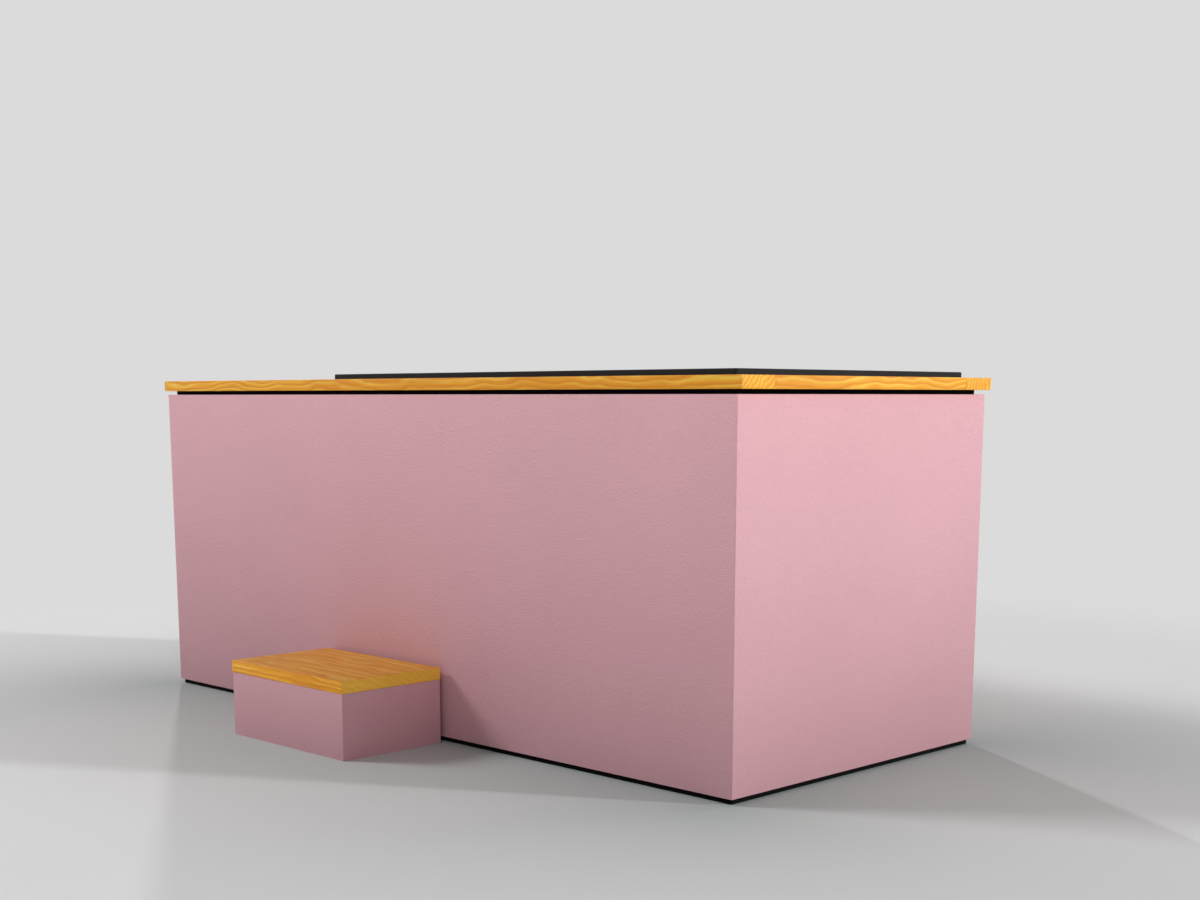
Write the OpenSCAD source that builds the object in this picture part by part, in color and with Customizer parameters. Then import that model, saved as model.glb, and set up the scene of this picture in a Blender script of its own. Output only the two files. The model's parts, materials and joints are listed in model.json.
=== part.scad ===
// Cold plunge tub: painted shell, wooden deck, lift-off cover, chiller bay and a loose step.
// Origin at the middle of the tub's footprint on the floor, X along the tub, front at -Y.

/* [Shell] */
// Length of the painted shell
shell_l = 1996; // [1900:2:2200]
// Width of the painted shell
shell_w = 835; // [825:5:900]
// Height of the painted shell
shell_h = 770; // [750:5:860]
// Gap between the floor and the shell's lower edge
floor_gap = 12; // [8:1:30]
// Thickness of the shell panels
panel_t = 3; // [2:0.5:5]

/* [Base and frame] */
// How far the runners stand back from the shell's faces
runner_inset = 8; // [5:1:25]
// Width of a runner
runner_w = 60; // [50:1:80]
// Outer side of the square frame tube
tube = 40; // [36:1:44]
// Wall of the frame tube
tube_wall = 2; // [1.5:0.5:4]
// Height of the flat tube that makes the top rails
top_rail_h = 30; // [25:1:40]
// Thickness of the base panel
base_panel_t = 5; // [3:0.5:10]
// Thickness of the bulkhead between bath and chiller bay
bulkhead_t = 10; // [6:1:15]

/* [Neck] */
// Height of the black neck strip
neck_h = 9.5; // [7:0.5:14]
// How far the neck strip stands back from the shell
neck_inset = 17; // [14:1:20]
// Width of the neck strip
neck_w = 12; // [10:1:16]

/* [Deck] */
// Thickness of the deck boards
deck_t = 26; // [22:1:34]
// Overhang of the deck past the shell's ends
deck_end_over = 12.5; // [5:0.5:20]
// Overhang of the deck past the shell's front and rear
deck_side_over = 2.5; // [1:0.5:8]
// Width of the long front and rear boards
long_board_w = 98; // [92:1:104]
// Width of the cross boards at both ends
end_board_w = 98; // [92:1:104]
// Width of the cross board between bath and hatch
middle_board_w = 120; // [115:1:130]
// Joint between two deck boards
board_joint = 0.4; // [0.2:0.1:1]
// Radius of a deck screw
deck_screw_r = 2.5; // [2:0.25:3.5]
// Depth of a deck screw in its board
deck_screw_bite = 18; // [10:1:20]
// Thickness of a deck screw's head
deck_screw_head_t = 3; // [2:0.5:4]

/* [Hatch] */
// Gap round the service hatch
hatch_gap = 3; // [2:0.5:5]
// Number of boards in the hatch
hatch_boards_n = 5; // [4:1:6]
// Gap between two hatch boards
hatch_board_gap = 2; // [1:0.5:4]
// Width of a batten under the hatch
batten_w = 60; // [40:1:80]
// Thickness of a batten
batten_t = 22; // [15:1:26]
// Distance from a hatch end to the middle of its batten
batten_from_end = 110; // [90:1:140]
// Gap between a batten's end and the ledges
batten_gap = 9; // [5:1:15]
// How far the ledges reach under the hatch
ledge_reach = 20; // [12:1:26]
// Bore of the finger ring
finger_r = 14; // [12:0.5:18]
// Wall of the finger ring
finger_wall = 2; // [1.5:0.5:3]
// Width of the finger ring's flange
finger_flange = 6; // [4:1:10]
// Thickness of the finger ring's flange
finger_flange_t = 1.5; // [1:0.25:2]
// Length of a hinge leaf
hinge_l = 76; // [60:1:100]
// Width of a hinge leaf
hinge_leaf_w = 32; // [24:1:40]
// Thickness of a hinge leaf
hinge_t = 2; // [1.5:0.25:2.5]
// Radius of a hinge knuckle
knuckle_r = 4; // [3.5:0.25:5]
// Radius of a hinge pin
hinge_pin_r = 2; // [1.5:0.25:2.5]
// Distance from a hatch end to the middle of its hinge
hinge_from_end = 87.5; // [70:0.5:140]
// Distance from a hinge's axis to its leaves
leaf_gap = 1; // [0.5:0.25:2]

/* [Cover] */
// Width of the cover
cover_w = 761; // [740:1:780]
// Height that the cover stands above the deck
cover_t = 12.5; // [9:0.5:18]
// Corner radius of the cover
cover_corner_r = 6; // [3:1:45]
// Length of deck that the cover leaves bare at the left
bare_l = 696.5; // [695:0.5:740]
// Distance from the shell's right face to the cover
cover_right_inset = 35.5; // [30:0.5:45]
// How far the cover's left end lies on the middle board
cover_overlap = 50; // [40:1:60]
// Depth of the insulating core below the cover
core_h = 40; // [34:1:60]
// Gap between the core and the well, filled by the seal
core_gap = 6; // [5:0.5:8]
// Height of the seal strips
seal_h = 15; // [10:1:20]
// Length of a recessed grip
grip_l = 130; // [115:1:150]
// Width of a recessed grip
grip_w = 56; // [50:1:65]
// Depth of a recessed grip
grip_h = 28; // [26:1:32]
// Wall of a recessed grip
grip_wall = 2; // [1.5:0.5:3]
// Radius of the bar across a grip
grip_bar_r = 5; // [4:0.5:6]
// How far a grip's bar lies below the cover's top
grip_bar_drop = 2; // [1:0.5:4]
// Rim of a grip round its recess
grip_rim = 8; // [5:1:12]
// Thickness of a grip's rim
grip_flange_t = 1.5; // [1:0.25:2]
// Distance from the cover's end to a grip's middle
grip_from_end = 130; // [100:5:160]

/* [Bath] */
// Wall of the bath
bath_wall = 6; // [4:0.5:8]
// How far the deck overhangs the bath's inner faces
bath_lip = 4; // [2:0.5:6]
// How much shorter the bath is at its floor than at its rim
backrest_run = 120; // [60:5:200]
// Height of the straight part above the backrest
backrest_top = 150; // [100:5:250]
// Thickness of the insulation under the bath
floor_board_t = 40; // [30:1:60]
// Thickness of the insulation along the bath
side_board_t = 38; // [30:1:40]
// Thickness of the insulation at the bath's left end
end_board_t = 50; // [40:1:60]
// Gap between neighbouring insulation boards
foam_gap = 0.5; // [0.3:0.1:0.9]

/* [Plumbing] */
// Outer radius of the pipes
pipe_r = 20; // [18:0.5:22]
// Wall of the pipes
pipe_wall = 2.5; // [2:0.25:3.5]
// Wall of a pipe socket
socket_wall = 5; // [4:0.5:6]
// How much slimmer a branch is than its socket
branch_step = 0.5; // [0.25:0.25:1]
// Depth to which a pipe enters a socket
socket_depth = 18; // [14:1:20]
// Radius of the wall fittings' flange
flange_r = 45; // [42:1:50]
// Thickness of the wall fittings' flange
flange_t = 6; // [4:0.5:8]
// Thickness of the fittings' nuts
nut_t = 10; // [8:1:14]
// How much smaller a nut is than its flange
nut_step = 5; // [3:1:8]
// Length of a wall fitting behind its flange
fitting_l = 75; // [70:1:80]
// Distance of both pipe lines from the tub's middle plane
line_y = 200; // [195:1:205]
// Thickness of the suction grille
grille_t = 8; // [6:1:12]
// Wall of the suction grille
grille_wall = 3; // [2:0.5:4]
// Gap behind the grille's stub
grille_stub_gap = 1; // [0.5:0.25:2]
// Number of slots in the grille
grille_slots_n = 5; // [3:2:5]
// Width of a grille slot
grille_slot_w = 4; // [3:0.5:5]
// Length of a grille slot
grille_slot_l = 52; // [40:1:60]
// Distance between two grille slots
grille_pitch = 9; // [8:0.5:10]
// Height of the suction line above the base panel
suction_h = 133; // [125:1:140]
// Height of the return line above the base panel
return_h = 243; // [240:1:255]
// Radius of the return nozzle's spout
spout_r = 9; // [7:0.5:11]
// Length of the spout past its ball
spout_l = 8; // [4:1:14]
// Wall of the spout
spout_wall = 3; // [2:0.5:4]
// Bend radius of an elbow
elbow_bend_r = 27; // [26.5:0.5:32]
// Distance from the drain tee's middle to its mouths
tee_half = 42; // [41:1:44]
// Distance from the bulkhead to the drain tee's middle
tee_from_bulkhead = 54; // [52:1:60]
// Radius of the drain spigot outside
spigot_r = 13; // [11:0.5:14]
// Wall of the drain spigot
spigot_wall = 3.5; // [2.5:0.5:4.5]
// Length of the drain spigot past its flange
spigot_l = 22; // [18:1:30]
// Radius of the spigot's flange
spigot_flange_r = 24; // [20:1:30]
// Thickness of the spigot's flange
spigot_flange_t = 8; // [5:1:12]
// Distance of the drain valve from the rear panel
valve_from_rear = 114; // [105:1:118]
// Radius of the ball in the drain valve
valve_ball_r = 24; // [23.5:0.25:24]
// Wall of the drain valve round its ball
valve_wall = 6; // [4:1:8]
// Distance from the drain valve's middle to its mouths
valve_half = 42; // [40:1:46]
// Radius of the valve's stem
stem_r = 5; // [4:0.5:6]
// Height of the collar round the stem
stem_collar_h = 3; // [2:0.5:5]
// Gap between the stem's collar and the lever
lever_gap = 1; // [0.5:0.5:2]
// How far the lever's eye stands out past its sides
lever_eye = 1; // [0.5:0.5:3]
// Thickness of the valve lever
lever_t = 4; // [3:0.5:6]
// Width of the valve lever
lever_w = 18; // [14:1:24]
// Length of the valve lever
lever_l = 92; // [70:1:96]

/* [Pump and filter] */
// Distance from the bulkhead to the middle of the pump's volute
pump_from_bulkhead = 158; // [156:1:165]
// Radius of the volute
volute_r = 72; // [70:1:74]
// Thickness of the volute
volute_t = 50; // [46:1:54]
// Wall of the volute's flat sides
volute_wall = 6; // [4:0.5:7]
// Wall of the volute's rim
volute_rim = 8; // [6:1:10]
// Height of the pump's outlet above the volute
pump_port_over = 30; // [26:1:36]
// Length of the pump's inlet
pump_nozzle_l = 25; // [22:1:30]
// Gap between the volute and the motor's end plate
motor_gap = 2; // [1:0.5:4]
// Radius of the pump motor
pump_motor_r = 58; // [50:1:62]
// Length of the pump motor
pump_motor_l = 140; // [120:1:145]
// Length of the motor's solid end
motor_end_l = 25; // [15:1:30]
// Half width of the motor's foot as a share of its radius
motor_foot_share = 0.8; // [0.7:0.05:0.9]
// Half width of the motor's terminal box as a share of its radius
motor_box_share = 0.6; // [0.5:0.05:0.7]
// Height of the terminal box above the motor
motor_box_h = 20; // [15:1:26]
// Radius of the impeller
impeller_r = 54; // [40:1:56]
// Thickness of the impeller's disc
impeller_t = 5; // [4:0.5:6]
// Gap between the impeller's disc and the volute
impeller_gap = 4; // [3:0.5:6]
// Number of vanes
vanes_n = 6; // [4:1:7]
// Thickness of a vane
vane_t = 4; // [3:0.5:5]
// Gap between the vanes and the volute
vane_gap = 6; // [4:1:8]
// Radius of the pump shaft
pump_shaft_r = 6; // [5:0.5:8]
// Gap at the end of the pump shaft
shaft_end_gap = 5; // [2:1:8]
// Radius of the filter housing
filter_r = 80; // [74:1:82]
// Height of the filter housing
filter_h = 550; // [540:5:560]
// Wall of the filter housing
filter_wall = 6; // [4:0.5:7]
// Thickness of the filter housing's floor
filter_floor = 30; // [20:1:40]
// Gap between the filter and the pump motor
filter_gap = 20; // [18:1:22]
// Length of the ports past filter and heat exchanger
port_l = 30; // [28:1:34]
// Height of the filter's inlet above the base panel
filter_inlet_h = 480; // [475:1:490]
// Height of the filter's outlet above the base panel
filter_outlet_h = 420; // [410:1:425]
// Radius of the filter cartridge
cartridge_r = 62; // [50:1:66]
// Number of pleats in the cartridge
pleats_n = 36; // [20:1:48]
// Depth to which the pleats are folded, as a share of the radius
pleat_share = 0.84; // [0.7:0.02:0.9]
// Radius of the cartridge's core as a share of its outer radius
cartridge_core_share = 0.45; // [0.35:0.05:0.6]
// Distance from the outlet to the cartridge's top
cartridge_drop = 40; // [30:1:60]
// Wall of the filter lid's skirt
lid_wall = 8; // [6:1:9]
// Depth of the filter lid's skirt
lid_skirt_h = 26; // [20:1:28]
// Thickness of the filter lid
lid_t = 14; // [10:1:18]
// Number of ribs round the filter lid
lid_ribs_n = 8; // [6:1:12]
// Width of a lid rib
lid_rib_w = 12; // [8:1:14]
// How far a lid rib stands out
lid_rib_over = 4; // [2:0.5:5]
// Gap between a lid rib and the skirt's lower edge
lid_rib_gap = 6; // [3:1:8]
// Half length of the lid's bar as a share of the filter's radius
lid_bar_share = 0.8; // [0.6:0.05:0.9]
// Width of the lid's bar
lid_bar_w = 14; // [10:1:18]
// Height of the lid's bar
lid_bar_h = 20; // [14:1:24]

/* [Chiller] */
// Radius of the heat exchanger
exchanger_r = 60; // [55:1:64]
// Height of the heat exchanger
exchanger_h = 460; // [445:5:500]
// Wall of the heat exchanger
exchanger_wall = 5; // [4:0.5:6]
// Thickness of the heat exchanger's floor
exchanger_floor = 20; // [12:1:30]
// Thickness of the heat exchanger's top
exchanger_top = 8; // [5:1:12]
// Thickness of the heat exchanger's foot
exchanger_foot_t = 12; // [8:1:15]
// How far the heat exchanger's foot stands out
exchanger_foot_over = 10; // [6:1:12]
// Distance from the filter's middle to the heat exchanger
exchanger_from_filter = 90; // [88:1:94]
// Radius of the steriliser
steriliser_r = 38; // [34:1:40]
// Length of the steriliser's sockets
steriliser_arm = 20; // [18:1:22]
// Distance from the bulkhead to the steriliser
steriliser_from_bulkhead = 54; // [52:1:58]
// Gap between heat exchanger and steriliser
steriliser_gap = 35; // [33:1:38]
// Radius of the compressor
compressor_r = 72; // [60:1:74]
// Height of the compressor
compressor_h = 220; // [180:5:260]
// Distance from the filter's middle to the compressor's
compressor_from_filter = 190; // [186:1:194]
// Height of the compressor's feet
compressor_foot_h = 15; // [10:1:20]
// Radius of the compressor's feet
compressor_foot_r = 10; // [8:1:12]
// Thickness of the compressor's plate
compressor_plate_t = 4; // [3:0.5:6]
// Step from the compressor's seam to its body
compressor_step = 4; // [3:1:6]
// Radius of the compressor's line stubs
stub_r = 5; // [4:0.5:6]
// Height of the compressor's line stubs
stub_h = 25; // [15:1:30]
// Distance of the line stubs to the left of the compressor's middle
stub_back = 20; // [18:1:24]
// Distance of the line stubs to each side of the compressor's middle
stub_side = 22; // [18:1:24]
// Side of the square condenser
condenser_w = 360; // [350:2:370]
// Thickness of the condenser
condenser_t = 40; // [30:1:50]
// Distance from the left end panel to the condenser
condenser_from_end = 30; // [20:1:40]
// Thickness of the condenser's rim
condenser_rim_t = 4; // [3:0.5:5]
// How far the fan stands above the condenser's middle
vent_rise = 3; // [0:0.5:4]
// Sideways place of the condenser, its fan and its louvre
vent_y = 160; // [150:1:165]
// Thickness of the fan shroud's plate
shroud_t = 3; // [2:0.5:4]
// Depth of the shroud in front of the condenser
shroud_d = 5; // [4.5:0.5:8]
// Length of the shroud's ring
ring_l = 32; // [30:1:40]
// Gap between the shroud's ring and the motor bracket
bracket_gap = 6; // [4:1:8]
// Radius of the fan
fan_r = 146; // [130:1:150]
// Gap between the blades and the ring
fan_tip_gap = 4; // [3:0.5:5]
// Radius of the fan's hub
fan_hub_r = 30; // [26:1:34]
// Distance from the shroud to the fan's hub
fan_from_shroud = 8; // [6:1:9]
// Radius of the fan motor
fan_motor_r = 36; // [30:1:42]
// Length of the fan motor
fan_motor_l = 44; // [35:1:48]
// Thickness of the fan motor's end cap
fan_motor_cap = 6; // [4:1:8]
// Radius of the fan shaft
fan_shaft_r = 4; // [3:0.5:6]
// Gap at the end of the fan shaft
fan_shaft_gap = 2; // [1:0.5:4]
// Thickness of the fan's hub
fan_l = 24; // [20:1:26]
// Thickness of the motor bracket's bars
bracket_t = 4; // [3:0.5:6]
// Width of the motor bracket's bars
bracket_w = 20; // [14:1:26]
// How far the bracket reaches past the fan
bracket_over = 24; // [22:1:26]
// Radius of a bracket post
bracket_post_r = 6; // [5:0.5:7]
// Distance from a bar's end to its post
bracket_post_inset = 8; // [7:0.5:10]
// Number of fan blades
blades_n = 5; // [3:1:7]
// Width of a fan blade
blade_w = 50; // [40:1:52]
// Thickness of a fan blade
blade_t = 2.4; // [1.6:0.2:3.2]
// How far the blades stand out past the hub's faces
blade_over = 4; // [2:0.5:4.5]
// Pitch of the fan blades
blade_pitch = 32; // [20:1:36]
// Side of the square opening behind each louvre
vent_w = 300; // [280:2:310]
// Width of a louvre's flange round its opening
vent_flange = 10; // [8:1:14]
// Thickness of a louvre's flange
vent_flange_t = 2; // [1:0.25:2.25]
// Depth of a louvre behind the shell's face
vent_depth = 12; // [10:1:16]
// Wall of a louvre's neck
vent_wall = 3; // [2:0.5:4]
// Number of slats in a louvre
slats_n = 9; // [6:1:11]
// Width of a slat
slat_w = 14; // [10:1:16]
// Thickness of a slat
slat_t = 2; // [1:0.25:2.5]
// Slope of a slat
slat_angle = 35; // [25:1:45]
// Height of the rear louvre's middle above the base panel
intake_h = 420; // [380:5:460]

/* [Controls] */
// Depth of the control box, along X
box_d = 150; // [145:1:160]
// Width of the control box, along Y
box_w = 190; // [185:1:220]
// Height of the control box
box_h = 46; // [40:1:50]
// Distance from the shell's top edge to the control box
box_drop = 48; // [46:1:60]
// Wall of the control box
box_wall = 4; // [3.5:0.25:5]
// Radius of a key
key_r = 7; // [6:0.5:8]
// How far a key stands up when it is pressed
key_over = 1; // [0.5:0.25:2]
// Distance from the box's left side to the keys' middle
key_from_side = 22; // [20:1:26]
// Distance from the tub's middle plane to the nearer key
key_from_mid = 33.6; // [30:0.2:36]
// Distance between the two keys
key_pitch = 28; // [24:1:32]
// Thickness of the flange that keeps a key in the box
key_flange = 2; // [1:0.25:3]
// How far that flange stands out past the key
key_flange_over = 2; // [1.5:0.25:3]
// Travel of a key
key_travel = 1.5; // [1:0.25:2]
// Length of the power rocker
rocker_l = 26; // [22:1:28]
// Width of the power rocker
rocker_w = 13; // [11:0.5:15]
// Height of the power rocker
rocker_h = 9; // [7:0.5:10]
// Sideways place of the power rocker
rocker_y = 50; // [40:1:60]
// Radius of the rocker's pin
rocker_pin_r = 1.5; // [1:0.1:1.6]
// Length of the rocker's pin at each side
rocker_pin_l = 3; // [2:0.5:5]
// Tilt of the rocker to each side
rocker_tilt = 6; // [4:1:7]
// Gap between the rocker's ends and its slot
rocker_gap = 1; // [0.75:0.25:2]
// Radius of the mains gland
gland_r = 9; // [7:0.5:12]
// Radius of the gland's bore for the cable
gland_bore_r = 4; // [3:0.5:5]
// Length of the gland inside the panel
gland_in = 12; // [8:1:16]
// Length of the gland outside the shell
gland_out = 14; // [10:1:18]
// Thickness of the gland's collar
gland_collar_t = 5; // [3:1:7]
// How far the gland's collar stands out
gland_collar_over = 5; // [3:1:7]
// Thickness of the gland's nut
gland_nut_t = 6; // [4:1:8]
// How far the gland's nut stands out
gland_nut_over = 4; // [3:1:6]
// Distance from the left end panel to the gland
gland_from_end = 95; // [85:5:140]
// Height of the gland above the base panel
gland_h = 60; // [40:5:100]

/* [Step] */
// Length of the step's painted box
step_l = 422; // [380:2:500]
// Depth of the step's painted box
step_d = 272; // [260:1:320]
// Height of the step's painted box
step_h = 147; // [130:1:190]
// Thickness of the tread
tread_t = 28; // [22:1:34]
// Overhang of the tread
tread_over = 1.3; // [0.5:0.1:5]
// Gap between the tub's front and the step
step_gap = 16; // [6:1:30]
// Distance from the shell's left end to the step
step_from_left = 718; // [600:2:900]
// Width and height of the step's cleats
cleat_w = 30; // [20:1:40]

/* [Fits] */
// Radial clearance of running fits
run_fit = 0.05; // [0.03:0.01:0.08]
// Radial clearance of glued or clamped pipes
pipe_fit = 0.1; // [0.05:0.01:0.15]
// Gap between pieces that pass each other freely
free_gap = 0.3; // [0.2:0.05:0.5]

/* [Hidden] */

$fn = 64;
eps = 1;

// Levels
shell_x = shell_l / 2;
shell_y = shell_w / 2;
shell_z = floor_gap + shell_h;
in_x = shell_x - panel_t;
in_y = shell_y - panel_t;
deck_z0 = shell_z + neck_h;
deck_z1 = deck_z0 + deck_t;
deck_x = shell_x + deck_end_over;
deck_y = shell_y + deck_side_over;
base_z = floor_gap + tube + base_panel_t;
rail_z = shell_z - top_rail_h;
rail_y = in_y - tube;
end_rail_x = in_x - tube;

// Well in the deck, and the bath below it
cover_x1 = shell_x - cover_right_inset;
cover_x0 = -shell_x + bare_l;
well_x0 = cover_x0 + cover_overlap;
well_x1 = deck_x - end_board_w;
well_y = deck_y - long_board_w;
bath_x0 = well_x0 - bath_lip;
bath_x1 = well_x1 + bath_lip;
bath_y = well_y + bath_lip;
bath_z0 = base_z + floor_board_t + bath_wall;
bath_out_x0 = bath_x0 - bath_wall;
bath_out_x1 = bath_x1 + bath_wall;
bath_out_y = bath_y + bath_wall;
slope_z = shell_z - backrest_top;
slope_angle = atan(backrest_run / (slope_z - bath_z0));
slope_wall = bath_wall / cos(slope_angle);
bath_low_x = bath_x1 - backrest_run + slope_wall - bath_wall * tan(slope_angle);
bath_knee_z = slope_z - (slope_wall - bath_wall) / tan(slope_angle);

// Middle of the frame, where the bay begins
mid_x1 = bath_out_x0 - end_board_t;
mid_x = mid_x1 - tube / 2;
mid_x0 = mid_x1 - tube;
bulk_x = mid_x0 - bulkhead_t;
neck_out_x = shell_x - neck_inset;
neck_out_y = shell_y - neck_inset;
neck_in_x = neck_out_x - neck_w;
neck_in_y = neck_out_y - neck_w;
rim_x0 = mid_x1 - tube / 2;

// Hatch
middle_x0 = well_x0 - middle_board_w;
hatch_x0 = -deck_x + end_board_w + hatch_gap;
hatch_x1 = middle_x0 - hatch_gap;
hatch_y = well_y - hatch_gap;
hatch_mid = (hatch_x0 + hatch_x1) / 2;
hatch_board_w = (2 * hatch_y - (hatch_boards_n - 1) * hatch_board_gap) / hatch_boards_n;
batten_l = 2 * (hatch_y - ledge_reach - batten_gap);
finger_y = -hatch_y + hatch_board_w / 2;
hinge_y = well_y - hatch_gap / 2;
hinge_z = deck_z1 + knuckle_r + free_gap;
hinge_xs = [hatch_x0 + hinge_from_end, hatch_x1 - hinge_from_end];

// Cover core
core_x0 = well_x0 + core_gap;
core_x1 = well_x1 - core_gap;
core_y = well_y - core_gap;
core_z = deck_z1 - core_h;
cover_z = deck_z1 + cover_t;
grip_xs = [cover_x0 + grip_from_end, cover_x1 - grip_from_end];
grip_bar_z = cover_z - grip_bar_r - grip_bar_drop;

// Screw places: through top rail, neck strip or ledge, into a deck board
long_screw_xs = [-0.9, -0.54, -0.1, 0.26, 0.6, 0.94];
cross_screw_share = 0.6;
deck_screw_spots = concat(
    [for (share = long_screw_xs, side = [-1, 1]) [share * shell_x, side * (neck_in_y + neck_w / 2)]],
    [for (end = [-1, 1], side = [-1, 1]) [end * (neck_in_x + neck_w / 2), side * well_y * cross_screw_share]],
    [for (side = [-1, 1]) [(mid_x0 + rim_x0) / 2, side * well_y * cross_screw_share]]
);

// Water lines
socket_r = pipe_r + socket_wall;
bore_r = pipe_r + pipe_fit;
branch_r = socket_r - branch_step;
suction_z = base_z + suction_h;
return_z = base_z + return_h;
fitting_x0 = bath_x0 - fitting_l;
elbow_arm = elbow_bend_r + socket_depth;
nozzle_x = bath_x0 + flange_t / 2;
nozzle_r = bore_r - free_gap;
tee_x = bulk_x - tee_from_bulkhead;
pump_x = bulk_x - pump_from_bulkhead;
pump_left = pump_x - volute_t / 2 - motor_gap - pump_motor_l;
pump_port_h = volute_r + pump_port_over;
pump_nozzle_x = pump_x + volute_t / 2 + pump_nozzle_l;
filter_x = pump_left - filter_gap - filter_r;
filter_port = filter_r + port_l;
filter_top = base_z + filter_h;
inlet_z = base_z + filter_inlet_h;
outlet_z = base_z + filter_outlet_h;
exchanger_x = filter_x + exchanger_from_filter + exchanger_r;
exchanger_port = exchanger_r + port_l;
steriliser_x1 = bulk_x - steriliser_from_bulkhead;
steriliser_x0 = exchanger_x + exchanger_port + steriliser_gap;
valve_y = in_y - valve_from_rear;
stem_top = suction_z + valve_ball_r + valve_wall + stem_collar_h;
lever_z = stem_top + lever_gap;
spigot_bore_r = spigot_r - spigot_wall;

// Chiller group at the left end
vent_z = base_z + condenser_w / 2 + vent_rise;
condenser_x = -in_x + condenser_from_end;
shroud_x = condenser_x + condenser_t + shroud_d;
fan_x0 = shroud_x + fan_from_shroud;
bracket_x = shroud_x + ring_l + bracket_gap;
bracket_r = fan_r + bracket_over;
compressor_x = filter_x + compressor_from_filter;
intake_x = exchanger_x;
intake_z = base_z + intake_h;

// Controls
box_z1 = shell_z - box_drop;
box_z0 = box_z1 - box_h;
box_x0 = bulk_x - box_d;
key_x = box_x0 + key_from_side;
key_rise = key_travel + key_over;
key_ys = [-key_from_mid - key_pitch, -key_from_mid];
gland_x = -in_x + gland_from_end;
gland_z = base_z + gland_h;

// Step
step_x0 = -shell_x + step_from_left;
step_x1 = step_x0 + step_l;
step_y1 = -shell_y - step_gap;
step_y0 = step_y1 - step_d;

paint = [0.80, 0.61, 0.64];
wood = [0.80, 0.56, 0.26];
dark = [0.10, 0.10, 0.11];
steel = [0.68, 0.70, 0.72];
grey = [0.60, 0.62, 0.64];

// Basic shapes, given by the places of their faces

module block(x0, x1, y0, y1, z0, z1)
    translate([x0, y0, z0]) cube([x1 - x0, y1 - y0, z1 - z0]);

module rod_x(x0, x1, y, z, r)
    translate([x0, y, z]) rotate([0, 90, 0]) cylinder(r = r, h = x1 - x0);

module rod_y(y0, y1, x, z, r)
    translate([x, y0, z]) rotate([-90, 0, 0]) cylinder(r = r, h = y1 - y0);

module rod_z(z0, z1, x, y, r)
    translate([x, y, z0]) cylinder(r = r, h = z1 - z0);

// A mirrored pair at -Y and +Y
module both_sides() {
    children();
    mirror([0, 1, 0]) children();
}

// Square tube along X, Y or Z
module tube_x(x0, x1, y0, y1, z0, z1) difference() {
    block(x0, x1, y0, y1, z0, z1);
    block(x0 - eps, x1 + eps, y0 + tube_wall, y1 - tube_wall, z0 + tube_wall, z1 - tube_wall);
}

module tube_y(x0, x1, y0, y1, z0, z1) difference() {
    block(x0, x1, y0, y1, z0, z1);
    block(x0 + tube_wall, x1 - tube_wall, y0 - eps, y1 + eps, z0 + tube_wall, z1 - tube_wall);
}

module tube_z(x0, x1, y0, y1, z0, z1) difference() {
    block(x0, x1, y0, y1, z0, z1);
    block(x0 + tube_wall, x1 - tube_wall, y0 + tube_wall, y1 - tube_wall, z0 - eps, z1 + eps);
}

// A panel with both ends mitred at 45 degrees, its outer face on y = -half_y
module mitred_panel(half_x, half_y, t, z0, z1)
    translate([0, 0, z0]) linear_extrude(z1 - z0)
        polygon([[-half_x, -half_y], [half_x, -half_y],
                 [half_x - t, -half_y + t], [-half_x + t, -half_y + t]]);

module rounded_plate(x0, x1, half_y, r, z0, z1)
    translate([0, 0, z0]) linear_extrude(z1 - z0) union() {
        translate([x0 + r, -half_y]) square([x1 - x0 - 2 * r, 2 * half_y]);
        translate([x0, -half_y + r]) square([x1 - x0, 2 * (half_y - r)]);
        for (x = [x0 + r, x1 - r], side = [-1, 1])
            translate([x, side * (half_y - r)]) circle(r);
    }

// Base and frame

module floor_runners() color(dark) {
    both_sides() block(
        -shell_x + runner_inset, shell_x - runner_inset,
        shell_y - runner_inset - runner_w, shell_y - runner_inset, 0, floor_gap
    );
    runner_y = shell_y - runner_inset - runner_w - free_gap;
    runner_mid = shell_x - runner_inset - runner_w / 2;
    for (x = [-runner_mid, 0, runner_mid])
        block(x - runner_w / 2, x + runner_w / 2, -runner_y, runner_y, 0, floor_gap);
}

module base_frame_tubes() color(steel) {
    both_sides() tube_x(-in_x, in_x, rail_y, in_y, floor_gap, floor_gap + tube);
    cross_y = rail_y - free_gap;
    for (x = [-in_x + tube / 2, mid_x, 0, bath_low_x - tube, in_x - tube / 2])
        tube_y(x - tube / 2, x + tube / 2, -cross_y, cross_y, floor_gap, floor_gap + tube);
}

module base_panel() color(grey)
    block(-in_x, in_x, -in_y, in_y, floor_gap + tube, base_z);

module frame_posts() color(steel)
    both_sides() for (x = [-in_x + tube / 2, mid_x, in_x - tube / 2])
        tube_z(x - tube / 2, x + tube / 2, rail_y, in_y, base_z, rail_z);

module top_rails() color(steel) difference() {
    union() {
        both_sides() tube_x(-in_x, in_x, rail_y, in_y, rail_z, shell_z);
        cross_y = rail_y - free_gap;
        for (x = [-in_x + tube / 2, mid_x, in_x - tube / 2])
            tube_y(x - tube / 2, x + tube / 2, -cross_y, cross_y, rail_z, shell_z);
    }
    deck_screw_holes();
}

module bulkhead() color(grey) difference() {
    block(bulk_x, mid_x0, -in_y, in_y, base_z, rail_z);
    rod_x(bulk_x - eps, mid_x0 + eps, -line_y, suction_z, pipe_r + free_gap);
    rod_x(bulk_x - eps, mid_x0 + eps, line_y, return_z, pipe_r + free_gap);
}

// Shell

module front_panel() color(paint)
    mitred_panel(shell_x, shell_y, panel_t, floor_gap, shell_z);

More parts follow.
